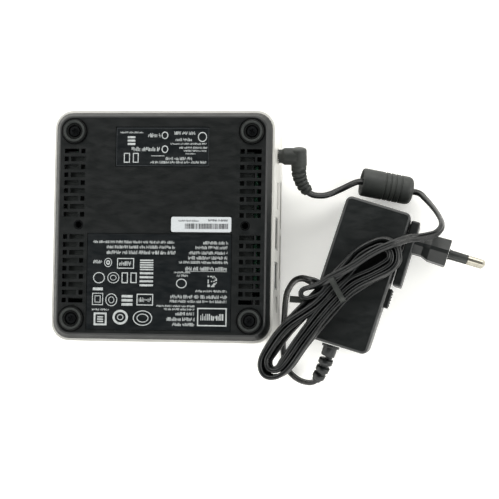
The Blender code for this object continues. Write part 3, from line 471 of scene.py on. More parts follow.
def make_paper():
    look = Look("label_paper", 0.6, specular=0.3)
    fibres = look.noise(0.8, 5.0, (1.0, 3.0, 1.0))
    look.tones(fibres, (164, 168, 170), (176, 180, 182), look.noise(4.0), (0.5, 0.68))
    look.bump(fibres, 0.006)
    return look.material


def make_ink(name, dark, light):
    look = Look(name, 0.5, specular=0.3)
    look.tones(look.noise(1.4, 4.0), dark, light, look.noise(0.7), (0.42, 0.6))
    return look.material


def make_tape():
    look = Look("winding_tape", 0.35, specular=0.5)
    layers = look.waves(3.0, "Z", 0.3)
    look.set("Base Color", look.ramp(layers, (0.2, srgb(196, 160, 40)), (0.9, srgb(226, 192, 70))))
    look.set("Roughness", look.remap(look.noise(5.0), 0.25, 0.45))
    look.bump(layers, 0.04)
    return look.material


def make_silicon():
    look = Look("processor_package", 0.3, specular=0.5)
    dies = look.noise(12.0, 2.0)
    look.set("Base Color", look.ramp(dies, (0.3, srgb(26, 34, 30)), (0.7, srgb(40, 50, 44))))
    look.bump(look.cells(1.0), 0.01)
    return look.material


# Moulded materials: name, dark and light colour, roughness range, grain, depth of grain,
# size of blotches, specular level
MOULDED = {
    "rubber": ("foot_rubber", (5, 6, 6), (9, 11, 10), (0.6, 0.8), 0.4, 0.03, 5.0, 0.14),
    "rubber_rim": ("foot_rim", (30, 33, 32), (42, 45, 43), (0.5, 0.65), 0.4, 0.02, 4.0, 0.25),
    "black_plastic": ("moulded_black", (16, 17, 18), (24, 25, 26), (0.4, 0.55), 0.3, 0.01, 8.0, 0.4),
    "dark_window": ("infrared_window", (20, 8, 10), (30, 12, 14), (0.06, 0.12), 2.0, 0.002, 16.0, 0.4),
    "button": ("button_plastic", (24, 24, 26), (32, 32, 34), (0.25, 0.4), 0.5, 0.006, 16.0, 0.4),
    "plug_black": ("plug_vinyl", (28, 31, 29), (40, 43, 40), (0.46, 0.62), 0.4, 0.02, 7.0, 0.4),
    "supply_black": ("supply_plastic", (13, 16, 16), (18, 21, 21), (0.34, 0.46), 0.5, 0.018, 22.0, 0.4),
    "capacitor": ("capacitor_sleeve", (34, 40, 66), (44, 52, 84), (0.2, 0.35), 1.0, 0.006, 16.0, 0.4),
    "tan_ceramic": ("ceramic_parts", (150, 120, 84), (184, 156, 116), (0.3, 0.5), 0.5, 0.01, 1.2, 0.4),
    "choke_grey": ("choke_ferrite", (58, 58, 60), (76, 76, 78), (0.4, 0.6), 0.4, 0.02, 3.0, 0.4)}

# Metals: name, dark and light colour, roughness range
METALS = {
    "steel": ("steel_sheet", (150, 152, 152), (196, 198, 198), (0.28, 0.42)),
    "screw_dark": ("blackened_steel", (16, 17, 18), (28, 29, 30), (0.4, 0.55)),
    "bracket_steel": ("painted_steel", (54, 57, 56), (68, 71, 70), (0.45, 0.6)),
    "aluminium": ("aluminium", (176, 178, 180), (214, 216, 218), (0.3, 0.45)),
    "copper": ("copper", (176, 104, 72), (214, 140, 104), (0.22, 0.38)),
    "nickel": ("nickel_plate", (188, 186, 178), (218, 216, 208), (0.14, 0.26)),
    "brass": ("pin_brass", (146, 142, 130), (182, 178, 166), (0.22, 0.36)),
    "gold": ("contact_gold", (200, 160, 70), (236, 200, 110), (0.15, 0.3))}


def make_materials():
    materials = {
        "gloss_black": make_black_gloss(),
        "silver": make_silver(),
        "cover_black": make_cover(),
        "board_green": make_board(
            "board_green", (20, 62, 44), (26, 74, 52), (44, 104, 74), (176, 150, 84)),
        "board_brown": make_board(
            "board_brown", (112, 84, 42), (130, 98, 52), (150, 116, 64), (190, 170, 110)),
        "cord_black": make_cord_rubber(),
        "label_dark": make_label_film(),
        "label_white": make_paper(),
        "ink_light": make_ink("ink_light", (138, 142, 142), (166, 170, 169)),
        "ink_dark": make_ink("ink_dark", (34, 37, 39), (48, 51, 53)),
        "ink_black": make_ink("ink_black", (28, 28, 30), (44, 44, 46)),
        "tape_yellow": make_tape(),
        "silicon": make_silicon()}
    for key, values in MOULDED.items():
        materials[key] = moulded(*values).material
    for key, values in METALS.items():
        materials[key] = metal(*values)
    return materials


MATERIALS = make_materials()

# Names or name patterns of the CAD nodes that take each look
NODE_LOOKS = {
    "gloss_black": "lid",
    "silver": "side_frame",
    "cover_black": "bottom_cover",
    "rubber": "foot_*",
    "steel": "io_plate lan_port usb_port_stack front_usb_port_* video_port_* coin_cell",
    "bracket_steel": "drive_bracket",
    "screw_dark": "captive_screw_*",
    "aluminium": "fin_stack storage_drive heat_spreader",
    "copper": "heat_pipe",
    "nickel": "dc_plug_barrel",
    "brass": "pin_*",
    "board_green": "motherboard memory_module_* wireless_card drive_backplane",
    "board_brown": "supply_board",
    "black_plastic": "dc_jack audio_jack memory_socket card_socket fan_housing fan_rotor",
    "dark_window": "infrared_window",
    "button": "power_button",
    "plug_black": "dc_plug twist_tie",
    "supply_black": "supply_case_* plug_head release_latch",
    "label_dark": "regulatory_label wireless_label",
    "label_white": "barcode_label",
    "tape_yellow": "transformer",
    "capacitor": "smoothing_capacitor",
    "silicon": "processor"}

# CAD nodes with small rounded edges, by the width of the edge
NODE_EDGES = {
    0.7: "lid", 0.5: "supply_case_* plug_head", 0.4: "storage_drive", 0.35: "release_latch",
    0.3: "power_button coin_cell transformer", 0.25: "side_frame",
    0.2: "lan_port usb_port_stack dc_jack fan_housing", 0.12: "bottom_cover"}


def nodes_like(patterns):
    return [frame["nodes"][node] for pattern in patterns.split()
            for node in fnmatch.filter(frame["nodes"], pattern)]


def dress_nodes():
    for look, patterns in NODE_LOOKS.items():
        for node in nodes_like(patterns):
            for slot in node.material_slots:
                slot.material = MATERIALS[look]


def soften_nodes():
    """Smooth shading over every node's curves, and small rounded edges on the moulded ones."""
    for node in frame["nodes"].values():
        mesh = node.data
        if "custom_normal" in mesh.attributes:
            mesh.attributes.remove(mesh.attributes["custom_normal"])
        mesh.shade_smooth()
        mesh.set_sharp_from_angle(angle=math.radians(32.0))
    for width, patterns in NODE_EDGES.items():
        for node in nodes_like(patterns):
            bevel(node, width, 2, 50.0)


# ---- camera, floor and light ----

def make_camera():
    camera = bpy.data.objects.new("camera", bpy.data.cameras.new("camera"))
    bpy.context.scene.collection.objects.link(camera)
    camera.data.lens = CAMERA_LENS
    camera.data.sensor_width = 36.0
    camera.data.clip_end = 20.0
    turn_x, turn_y, roll = CAMERA_TILT
    camera.matrix_world = (
        Matrix.Translation(Vector(CAMERA_AT) * MM)
        @ Matrix.Rotation(turn_y, 4, "Y") @ Matrix.Rotation(turn_x, 4, "X")
        @ Matrix.Rotation(roll, 4, "Z"))
    bpy.context.scene.camera = camera


def make_stage():
    shape = bmesh.new()
    bmesh.ops.create_grid(shape, x_segments=1, y_segments=1, size=FLOOR_SIZE,
                          matrix=Matrix.Translation((100.0, 0.0, -0.1)))
    floor = bpy.data.objects.new("floor", finish_mesh(shape))
    bpy.context.scene.collection.objects.link(floor)
    look = Look("floor_paper", 0.85, specular=0.1)
    look.set("Base Color", srgb(248, 248, 245))
    look.set("Emission Color", srgb(255, 255, 252))
    look.set("Emission Strength", 0.25)
    floor.data.materials.append(look.material)
    world = bpy.data.worlds.new("studio")
    bpy.context.scene.world = world
    world.use_nodes = True
    tree = world.node_tree
    background = tree.nodes["Background"]
    direction = tree.nodes.new("ShaderNodeTexCoord").outputs["Generated"]
    split = tree.nodes.new("ShaderNodeSeparateXYZ")
    ramp = tree.nodes.new("ShaderNodeValToRGB")
    stops = (0.6, (1.0, 1.0, 0.985, 1.0)), (0.86, (0.03, 0.03, 0.03, 1.0))
    for element, (place, colour) in zip(ramp.color_ramp.elements, stops):
        element.position = place
        element.color = colour
    tree.links.new(direction, split.inputs["Vector"])
    tree.links.new(split.outputs["Z"], ramp.inputs["Fac"])
    tree.links.new(ramp.outputs["Color"], background.inputs["Color"])
    background.inputs["Strength"].default_value = WORLD_STRENGTH
    bpy.context.scene.view_settings.view_transform = "Standard"


def add_light(name, place, target, size, power):
    light = bpy.data.lights.new(name, "AREA")
    light.shape = "RECTANGLE"
    light.size, light.size_y = size
    light.energy = power
    light.color = (1.0, 0.995, 0.975)
    obj = bpy.data.objects.new(name, light)
    bpy.context.scene.collection.objects.link(obj)
    obj.location = place
    aim = Vector(target) - Vector(place)
    obj.rotation_euler = aim.to_track_quat("-Z", "Y").to_euler()


def make_lights():
    target = (0.06, 0.0, 0.02)
    add_light("light_back", (0.05, 1.1, 0.8), target, (1.6, 0.7), 13.0)
    add_light("light_left", (-1.0, 0.1, 0.8), target, (0.9, 0.9), 6.0)
    add_light("light_right", (1.2, 0.0, 0.8), target, (0.9, 0.9), 9.0)
    add_light("light_front", (0.05, -1.1, 0.8), target, (1.6, 0.7), 6.0)


# ---- lead ----

def cord_section():
    """Two round conductors side by side with a groove between; one of them is finely ribbed."""
    points = []
    offset = CORD_WIDE / 2 - LOBE
    opening = math.degrees(math.acos(0.72))
    steps = 10
    for side in (1, -1):
        for step in range(steps + 1):
            angle = math.radians(-180 + opening + (360 - 2 * opening) * step / steps)
            rib = RIB_DEPTH if side > 0 and step % 2 else 0.0
            points.append((side * (offset + (LOBE - rib) * math.cos(angle)),
                           side * (LOBE - rib) * math.sin(angle)))
    return points


def hank_at(station):
    """Centre, low height, half width, along and across directions at a fractional station."""
    low = min(max(int(station), 0), len(HANK_STATIONS) - 2)
    part = station - low
    x, y, floor, half = [
        a + (b - a) * part for a, b in zip(HANK_STATIONS[low], HANK_STATIONS[low + 1])]
    before = HANK_STATIONS[max(low - 1, 0)]
    after = HANK_STATIONS[min(low + 2, len(HANK_STATIONS) - 1)]
    along = Vector((after[0] - before[0], after[1] - before[1], 0.0)).normalized()
    return Vector((x, y, 0.0)), floor, half, along, Vector((-along.y, along.x, 0.0))


def slot_offset(station, column, layer):
    """Distance of a strand from the hank's middle line."""
    half = hank_at(station)[2]
    if station > PINCHED[1] or station < PINCHED[0]:
        return half - EDGE_INSET - STRAND_PITCH * column - 0.5 * layer
    return half - EDGE_INSET - (half - 1.75) / 2.6 * (column + 0.5 * layer)


def slot_height(station, layer):
    return hank_at(station)[1] + CORD_WIDE / 2 - 0.1 + LAYER_RISE * layer


def arm_point(station, side, place, rng):
    """A point of a strand on the hank's lower right arm, side 1, or its upper left arm, side -1."""
    column, layer = place
    centre, _, _, _, across = hank_at(station)
    loose = 0.0 if abs(station - TIE_STATION) < 0.7 else LOOSENESS
    offset = slot_offset(station, column, layer) + rng.uniform(-loose, loose)
    lift = 0.0
    if side < 0:
        lift = SWELL[1] * math.exp(-((station - SWELL[0]) / 0.7) ** 2) * (1.0 - 0.4 * layer)
    point = centre + across * side * offset
    height = slot_height(station, layer) + lift + rng.uniform(-loose, loose)
    return point.x, point.y, height, 0.06 * side + rng.uniform(-loose, loose) * 0.5


def loop_points(upper, start_side, start, end, rng):
    """Half a turn at an end of the hank, from a strand's place on one arm to one on the other."""
    station = UPPER_LOOP if upper else LOWER_LOOP
    centre, _, _, along, across = hank_at(station)
    forward = -along if upper else along
    stretch = 1.0 if upper else 1.5
    reach = rng.uniform(-1.2, 0.3)
    points = []
    for part in (0.0, 0.25, 0.5, 0.75, 1.0):
        radius = slot_offset(station, *start) * (1 - part) + slot_offset(station, *end) * part
        radius = max(radius, TIGHTEST_TURN)
        height = slot_height(station, start[1]) * (1 - part) + slot_height(station, end[1]) * part
        turn = math.pi * part
        point = (centre + across * start_side * radius * math.cos(turn)
                 + forward * (radius * stretch + reach) * math.sin(turn))
        points.append((point.x, point.y, height - (0.0 if upper else 0.6), rng.uniform(-0.12, 0.12)))
    return points


def hank_route(rng):
    """Turns of the hank; a place is a column, outermost first, and a layer, 1 on top."""
    places = [(0, 1), (1, 1), (2, 1), (0, 0), (1, 0), (2, 0)]
    below = [(0, 1), (0, 1), (1, 1), (0, 0), (1, 0), (2, 0)]
    route = []
    for turn in range(HANK_TURNS):
        if turn:
            route += [arm_point(7.2, -1, below[turn], rng), arm_point(6.0, -1, places[turn], rng)]
        route += [arm_point(station, -1, places[turn], rng) for station in (TIE_STATION, 4.0, 3.0)]
        route += loop_points(True, -1, places[turn], places[turn], rng)
        falling = (3.0, 4.0, TIE_STATION, 6.0, 7.2)
        if turn == HANK_TURNS - 1:
            falling = falling[:2]
        route += [arm_point(station, 1, places[turn], rng) for station in falling]
        if turn < HANK_TURNS - 1:
            route += loop_points(False, 1, places[turn], below[turn + 1], rng)
    return route


def cord_route():
    """The whole lead from the angled plug's boot to the supply's boot.

    Each point is x, y, z and how far the cord leans from standing on its edge, in radians.
    """
    flat = math.pi / 2
    route = [(69.4, 21.9, 19.0, 0.3)]
    route += [(*point, 0.5) for point in PLUG_CORD[:-1]]
    for place in (-0.5, -0.2, 0.2, 0.5):
        route.append((*(ferrite_matrix() @ Vector((0.0, 0.0, FERRITE_LENGTH * place))), 0.5))
    leans = [0.5, 0.4, 0.3, 0.2, 0.2, 0.3, 0.5, 0.7, 0.8, 0.8]
    route += [(*point, lean) for point, lean in zip(MIDDLE_CORD[1:], leans)]
    route += [
        (123.8, -5.2, 45.6, 0.9), (120.4, -6.4, 49.6, 0.9), (117.0, -7.8, 52.4, 0.8),
        (113.4, -9.3, 53.1, 0.7), (109.2, -11.1, 53.1, 0.7), (103.3, -14.4, 53.1, 0.7),
        (97.2, -18.6, 53.1, 0.7), (91.4, -22.2, 53.0, 0.8), (87.6, -24.4, 52.8, 1.0),
        (84.4, -26.0, 52.3, 1.0), (79.6, -28.6, 50.6, 0.5), (75.2, -30.0, 48.8, 0.1),
        (72.3, -30.7, 48.0, 0.0), (70.5, -32.0, 47.9, 0.0), (70.4, -34.1, 47.9, 0.0),
        (72.4, -35.5, 48.0, 0.0), (75.8, -35.0, 48.6, 0.0), (80.8, -32.3, 49.3, 0.0)]
    route += hank_route(random.Random(7))
    route += [(89.4, -34.6, 43.6, 0.9), (84.8, -32.6, 42.5, flat), (80.8, -30.0, 42.4, flat)]
    leans = [1.3, 0.8, 0.5, 0.35] + [0.2] * len(SUPPLY_CORD)
    route += [(x, y, max(z, 2.4), lean) for (x, y, z), lean in zip(SUPPLY_CORD, leans)]
    route.append((*(supply_matrix() @ Vector((-6.8, -54.0, 15.2))), 0.2))
    return smooth_line(route, RING_SPACING)


def make_cord():
    rings = cord_route()
    loops = []
    for (place, along, upright, sideways), ring in zip(frames_along(rings), rings):
        wide = upright * math.cos(ring[3]) + sideways * math.sin(ring[3])
        thin = along.cross(wide)
        loops.append([place + wide * a + thin * b for a, b in cord_section()])
    cord = add_piece("lead", loft_mesh(loops), "cord_black", "power_supply", 60.0)
    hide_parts("cord_plug_stretch", "cord_middle_stretch", "cord_supply_stretch", "cord_hank")
    return cord, [Vector(ring[:3]) * MM for ring in rings]


# ---- plugs, ferrite and boots ----

def profile_tube(route, profile, segments=40):
    """A tube along a route; its profile is (distance, radius) points, some shifted sideways."""
    line = smooth_line(route, 0.2)
    frames = frames_along(line)
    length = sum(math.dist(a[:3], b[:3]) for a, b in zip(line, line[1:]))
    sections = []
    for distance, radius, *shift in profile:
        at = min(max(distance / length, 0.0), 1.0) * (len(frames) - 1)
        low = min(int(at), len(frames) - 2)
        place, along, upright, _ = frames[low]
        place = place.lerp(frames[low + 1][0], at - low)
        along = along.lerp(frames[low + 1][1], at - low).normalized()
        upright = (upright - along * upright.dot(along)).normalized()
        sideways = along.cross(upright)
        sections.append([place + upright * point.x + sideways * (point.y + sum(shift))
                         for point in circle(radius, segments=segments)])
    return loft_mesh(sections)


def plug_leg(distance, x):
    """A point along the plug's short leg, at a distance from the jack's axis."""
    return (x, JACK_Y - distance * math.cos(PLUG_TILT), JACK_Z - distance * math.sin(PLUG_TILT))


def make_plug():
    """The angled plug: a necked arm into the jack and a flat-topped leg with a rounded edge."""
    arm = [(3.3, 56.4), (3.5, 56.6), (3.5, 57.9), (3.7, 58.3), (4.25, 59.1), (4.4, 59.6), (4.4, 66.0)]
    leg = [(4.1, 4.7), (4.1, -2.9), (4.0, -3.5), (3.6, -4.0), (2.9, -4.3), (2.0, -4.4)]
    into_jack = Matrix.Rotation(math.pi / 2, 4, "Y")
    to_boot = Matrix.Translation((LEG_X, 0.0, 0.0)) @ Matrix.Rotation(math.pi / 2, 4, "X")
    shape = bmesh.new()
    for turn, profile in ((into_jack, arm), (to_boot, leg)):
        add_loft(shape, [[turn @ point for point in circle(radius, place, segments=56)]
                         for radius, place in profile])
    plug = add_piece("angled_plug", finish_mesh(shape, plug_matrix()), "plug_black",
                     "power_supply", 30.0)
    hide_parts("dc_plug")
    return plug


def make_plug_boot():
    """Tapered strain relief: a collar, then five rounded ribs with narrow grooves."""
    route = [plug_leg(BOOT_START - 0.7, 66.65), plug_leg(8.2, 66.55), (67.3, 26.0, 21.0),
             (68.8, 22.8, 19.5), (71.2, 19.9, 18.1)]
    profile = [(0.0, 3.6), (0.3, 3.9), (3.0, 3.9), (3.3, 3.6)]
    first_rib, rib_pitch = 3.4, 2.35
    for rib in range(5):
        start = first_rib + rib_pitch * rib
        radius = 3.85 - 0.17 * rib
        profile += [(start, radius - 0.75), (start + 0.45, radius - 0.75), (start + 0.6, radius - 0.2),
                    (start + 0.9, radius), (start + 1.9, radius), (start + 2.2, radius - 0.25)]
    profile += [(15.3, 2.7), (16.6, 2.6), (17.4, 2.45)]
    boot = add_piece("plug_boot_ribbed", profile_tube(route, profile), "plug_black",
                     "power_supply", 50.0)
    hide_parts("dc_plug_boot")
    return boot


def make_supply_boot():
    """Flange, sleeve, and three loose rings on a thin core, down to the cord."""
    local = [(-5.2, -36.7, 19.8), (-5.2, -38.2, 19.8), (-5.3, -42.5, 19.3), (-5.5, -46.5, 18.4),
             (-6.0, -50.5, 17.0), (-6.8, -54.0, 15.2), (-7.5, -56.2, 13.9)]
    route = [tuple(supply_matrix() @ Vector(point)) for point in local]
    profile = [(0.0, 4.4), (0.2, 4.6), (1.0, 4.6), (1.2, 4.4), (1.3, 3.7), (5.5, 3.6), (5.8, 3.3)]
    first_ring, ring_pitch = 5.9, 4.4
    for ring in range(3):
        start = first_ring + ring_pitch * ring
        radius = 3.7 - 0.2 * ring
        shift = 0.9 if ring % 2 else -0.9
        profile += [(start, 1.8, shift), (start + 1.5, 1.8, shift), (start + 1.6, radius - 0.3),
                    (start + 1.9, radius), (start + 4.0, radius), (start + 4.3, radius - 0.3)]
    profile += [(19.3, 2.3), (20.4, 2.45), (20.8, 2.3)]
    boot = add_piece("supply_boot_ringed", profile_tube(route, profile), "supply_black",
                     "power_supply", 50.0)
    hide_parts("supply_boot")
    return boot


def make_ferrite():
    """Overmoulded bead: dished ends, four shallow grooves, a rounded far shoulder."""
    profile = [(2.6, -12.0), (5.4, -12.3), (6.1, -13.3), (6.5, -13.5), (6.9, -13.3), (7.2, -12.8),
               (7.3, -12.2)]
    for groove in (-1.6, 1.0, 3.6, 6.6):
        profile += [(7.3, groove - 0.5), (7.15, groove - 0.36), (6.9, groove - 0.22),
                    (6.9, groove + 0.22), (7.15, groove + 0.36), (7.3, groove + 0.5)]
    profile += [(7.3, 10.2), (7.2, 11.2), (6.9, 12.1), (6.3, 12.8), (5.4, 13.3), (4.6, 13.5),
                (4.2, 13.3), (3.9, 12.7), (2.6, 12.5)]
    bead = add_piece("ferrite_bead", turned_mesh(profile, ferrite_matrix(), 96), "plug_black",
                     "power_supply", 40.0)
    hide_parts("ferrite_choke")
    return bead


def strip_section(place, wide, thick, half=1.4):
    """Outline of the tie's strip, with a thicker bead along each edge."""
    outline = [(-1.0, 0.0), (-0.95, -1.0), (-0.75, -1.0), (-0.65, -0.5), (0.65, -0.5),
               (0.75, -1.0), (0.95, -1.0)]
    outline += [(-a, -b) for a, b in outline]
    return [place + wide * (half * a) + thick * (0.45 * b) for a, b in outline]


def make_tie():
    """The strip that holds the hank, closed round it at a slant."""
    start, end = Vector((84.6, -24.2, 0.0)), Vector((91.6, -36.9, 0.0))
    across = (end - start).normalized()
    wide = Vector((-across.y, across.x, 0.0))
    middle = (start + end) / 2
    reach = (end - start).length / 2
    sections = []
    for step in range(48):
        angle = 2 * math.pi * step / 48
        flat_cos, flat_sin = [math.copysign(abs(turn) ** TIE_SQUARENESS, turn)
                              for turn in (math.cos(angle), math.sin(angle))]
        height = Vector((0.0, 0.0, TIE_Z + TIE_HALF_Z * flat_sin))
        place = middle + across * reach * flat_cos + height
        thick = (across * math.cos(angle) + Vector((0.0, 0.0, math.sin(angle)))).normalized()
        sections.append(strip_section(place, wide, thick))
    tie = add_piece("tie_loop", loft_mesh(sections, True), "plug_black", "power_supply")
    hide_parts("twist_tie")
    return tie


def make_tie_tail():
    """Free end of the tie, which leaves under the bundle."""
    line = smooth_line([(88.0, -33.6, 41.7), (80.0, -35.2, 41.9), (72.0, -36.2, 42.8),
                        (64.4, -35.9, 43.5)], 0.8)
    sections = [strip_section(place, sideways, upright, 1.65)
                for place, _, upright, sideways in frames_along(line)]
    return add_piece("tie_tail", loft_mesh(sections), "plug_black", "power_supply")


def make_pin_sleeves():
    """Insulating sleeves on the inner half of each mains pin."""
    for side, label in ((1, "upper"), (-1, "lower")):
        matrix = (supply_matrix() @ Matrix.Translation((38.2, PIN_Y, PIN_Z + side * PIN_SPREAD))
                  @ Matrix.Rotation(math.pi / 2, 4, "Y"))
        profile = [(2.3, 0.0), (2.3, 0.5), (2.05, 0.7), (1.98, 9.7), (1.9, 10.0)]
        add_piece("pin_sleeve_" + label, turned_mesh(profile, matrix, 40), "plug_black", "plug_head")


def make_supply_details():
    """Grip ribs on the latch, and a raised arrow on the case."""
    matrix = supply_matrix()
    ribs = [((16.92, -9.2 + 1.5 * row, 15.5), (17.25, -8.6 + 1.5 * row, 25.5)) for row in range(6)]
    add_piece("latch_ribs", boxes_mesh(ribs, matrix), "supply_black", "release_latch")
    marks = [((-14.0, -23.2, 41.0), (1.6, -23.0, 41.08))]
    marks += [((0.6 + 0.25 * step, -23.1 - 0.12 * (5 - step), 41.0),
               (0.9 + 0.25 * step, -23.1 + 0.12 * (5 - step), 41.09)) for step in range(5)]
    add_piece("case_mark", boxes_mesh(marks, matrix), "supply_black", "power_supply")


# ---- underside ----

def make_feet():
    """A lighter grey rim on each rubber foot, and a domed screw with a cross recess in it."""
    rim = [(4.15, 50.5), (4.17, 51.1), (4.3, 51.42), (4.6, 51.64), (4.9, 51.7), (5.15, 51.66),
           (5.36, 51.48), (5.37, 50.6)]
    dome = [(2.64, 49.94), (2.64, 50.06), (2.45, 50.25), (2.0, 50.4), (1.2, 50.5), (0.5, 50.53)]
    for side_x, label_x in ((-1, "front"), (1, "rear")):
        for side_y, label_y in ((-1, "left"), (1, "right")):
            label = label_x + "_" + label_y
            foot_low, foot_high = node_box("foot_" + label)
            centre = (foot_low + foot_high) / 2
            matrix = Matrix.Translation((centre.x, centre.y, 0.0))
            add_piece("foot_rim_" + label, turned_mesh(rim, matrix, closed=True), "rubber_rim",
                      "bottom_cover", 50.0)
            crown = add_piece("screw_crown_" + label, turned_mesh(dome, matrix, 40), "screw_dark",
                              "bottom_cover", 50.0)
            turn = matrix @ Matrix.Rotation(math.radians(20 + 35 * side_x + 11 * side_y), 4, "Z")
            for x, y in ((1.35, 0.28), (0.28, 1.35)):
                cut(crown, boxes_mesh([((-x, -y, 50.1), (x, y, 51.0))], turn))


def make_mount_inserts():
    """Threaded cups behind the two mounting holes in the cover."""
    cup = [(2.45, 49.76), (2.4, 49.84), (1.9, 49.84), (1.6, 49.3), (1.75, 49.0), (1.55, 48.7),
           (1.7, 48.4), (1.5, 48.1), (1.5, 47.4), (0.05, 47.4), (0.05, 47.0), (2.2, 47.0),
           (2.4, 47.6), (2.4, 49.4)]
    for side, label in ((-1, "front"), (1, "rear")):
        matrix = Matrix.Translation((side * VESA_X, 0.0, 0.0))
        add_piece("mount_insert_" + label, turned_mesh(cup, matrix, 32, True), "screw_dark",
                  "bottom_cover", 30.0)


# ---- print ----

def greeked(x0, y0, x1, y1, rng):
    """Upright ticks of uneven height, in groups, that stand for a line of small print."""
    high = y1 - y0
    stroke = max(0.15, high * 0.12)
    boxes = []
    x = x0
    left_in_group = rng.randint(5, 16)
    while x + stroke < x1:
        low = y0 + high * rng.choice((0.0, 0.0, 0.0, 0.3))
        top = y1 - high * rng.choice((0.0, 0.0, 0.25, 0.35))
        wide = stroke * rng.choice((1.0, 1.0, 1.6))
        boxes.append((x, low, min(x + wide, x1), top))
        x += wide + stroke * rng.choice((0.7, 0.9, 1.2))
        left_in_group -= 1
        if not left_in_group:
            left_in_group = rng.randint(5, 16)
            x += high * 0.35
    return boxes


def frame_boxes(x0, y0, x1, y1, line):
    return [(x0, y0, x1, y0 + line), (x0, y1 - line, x1, y1),
            (x0, y0 + line, x0 + line, y1 - line), (x1 - line, y0 + line, x1, y1 - line)]


def rows(x0, y0, x1, y1, count, fill):
    pitch = (y1 - y0) / count
    return [(x0, y0 + pitch * row, x1, y0 + pitch * (row + fill)) for row in range(count)]


def flat_rings(shape, rings, low, high):
    """Flat rings or discs: each is centre x, centre y, half width, half depth, line width."""
    for x, y, wide, deep, line in rings:
        sections = []
        for inset, height in ((0.0, low), (0.0, high), (line, high), (line, low)):
            sections.append([Vector((x + (wide - inset) * p.x, y + (deep - inset) * p.y, height))
                             for p in circle(1.0, segments=40)])
        add_loft(shape, sections, True)


def print_mesh(boxes, rings, top=0.03):
    low, high = LABEL_TOP - 0.02, LABEL_TOP + top
    shape = bmesh.new()
    for x0, y0, x1, y1 in boxes:
        add_box(shape, (x0, y0, low), (x1, y1, high))
    flat_rings(shape, rings, low, high)
    return finish_mesh(shape)


REGULATORY_LINES = [
    (-34.4, -9.2, 7.4, -7.8), (-27.4, -11.8, 7.4, -10.2), (-27.4, -14.6, 7.5, -12.8),
    (-34.2, -19.4, -29.0, -17.7), (-34.4, -43.0, -25.7, -42.0), (21.4, -9.4, 34.0, -7.8),
    (17.5, -11.8, 33.6, -10.2), (14.3, -14.5, 33.7, -12.9), (14.0, -17.0, 33.7, -15.3),
    (9.3, -19.1, 33.8, -17.7), (12.6, -22.5, 33.5, -20.6), (6.9, -24.0, 15.2, -23.0),
    (8.4, -25.7, 14.1, -24.5), (17.8, -33.3, 33.6, -32.1), (5.3, -36.5, 33.7, -34.7),
    (5.0, -38.6, 33.7, -37.2), (-1.8, -40.8, 17.6, -39.8), (2.2, -42.4, 17.7, -41.3),
    (8.0, -44.9, 17.7, -43.2), (3.6, -47.7, 17.8, -45.9), (6.5, -50.2, 17.8, -48.6),
    (-20.8, -20.4, -14.6, -18.2), (-10.6, -38.4, -4.6, -36.2), (20.6, -47.2, 32.2, -44.0)]

# Frames: low x, low y, high x, high y, line width
REGULATORY_FRAMES = [
    (-22.0, -21.9, -13.4, -16.6, 0.45), (-19.6, -29.2, -16.4, -23.8, 0.5),
    (-15.1, -29.1, -11.9, -23.8, 0.5), (-34.4, -40.3, -28.8, -34.2, 0.4),
    (-33.1, -39.0, -30.1, -35.5, 0.35), (-11.8, -40.2, -3.4, -34.4, 0.5),
    (-33.4, -50.4, -26.8, -44.0, 0.9), (18.9, -50.1, 33.7, -41.0, 0.6)]

# Blocks of bars: low x, low y, high x, high y, number of bars, part of the pitch that is filled
REGULATORY_BLOCKS = [
    (-10.4, -22.6, -3.6, -16.8, 5, 0.6), (-10.4, -30.6, -3.6, -22.6, 4, 0.5),
    (-19.4, -40.4, -13.8, -34.3, 3, 0.62), (-31.6, -48.8, -28.6, -45.4, 3, 0.6),
    (-34.1, -32.9, -29.0, -31.5, 1, 1.0), (12.6, -23.0, 33.5, -22.8, 1, 1.0)]

# Rings: centre x, centre y, half width, half depth, line width
REGULATORY_RINGS = [
    (-26.6, -18.9, 2.0, 2.3, 0.35), (-26.6, -18.9, 1.0, 1.2, 0.6), (-31.1, -26.6, 3.0, 2.8, 0.45),
    (-23.8, -26.5, 3.0, 2.8, 0.35), (-23.8, -26.5, 1.6, 1.4, 0.3), (-24.6, -37.6, 3.0, 3.2, 0.4),
    (-24.6, -37.6, 1.5, 1.7, 0.35), (-19.9, -46.2, 3.9, 3.7, 1.1), (-19.9, -46.2, 1.6, 1.5, 0.4),
    (-8.6, -46.5, 4.9, 3.8, 0.45), (-8.6, -46.5, 3.0, 2.2, 0.4), (10.7, -29.0, 2.7, 2.4, 0.45)]

WIRELESS_LINES = [
    (-21.6, 46.2, -9.9, 47.1), (-7.4, 44.2, -0.9, 46.3), (-15.7, 37.2, -1.2, 39.3),
    (5.9, 45.5, 17.1, 47.2), (6.5, 42.3, 14.7, 43.8), (4.0, 40.5, 22.3, 41.4),
    (8.5, 38.5, 22.6, 39.5), (10.8, 37.0, 22.3, 37.9), (11.7, 35.6, 17.0, 36.3),
    (1.6, 32.7, 15.1, 34.3), (-6.0, 31.0, 22.2, 32.3)]
WIRELESS_FRAMES = [(-19.6, 31.4, -16.5, 36.3, 0.45), (-15.0, 31.4, -12.1, 36.3, 0.45)]
WIRELESS_BLOCKS = [(-17.8, 40.3, -13.9, 45.4, 3, 0.6), (-5.8, 34.7, 1.0, 35.0, 1, 1.0)]
WIRELESS_RINGS = [
    (1.1, 45.2, 1.7, 1.9, 0.5), (1.2, 38.2, 1.7, 1.9, 0.5), (20.1, 44.4, 2.3, 2.5, 0.45)]


def print_boxes(lines, frames, blocks, rng):
    boxes = []
    for line in lines:
        boxes += greeked(*line, rng)
    for edge in frames:
        boxes += frame_boxes(*edge)
    for block in blocks:
        boxes += rows(*block)
    return boxes


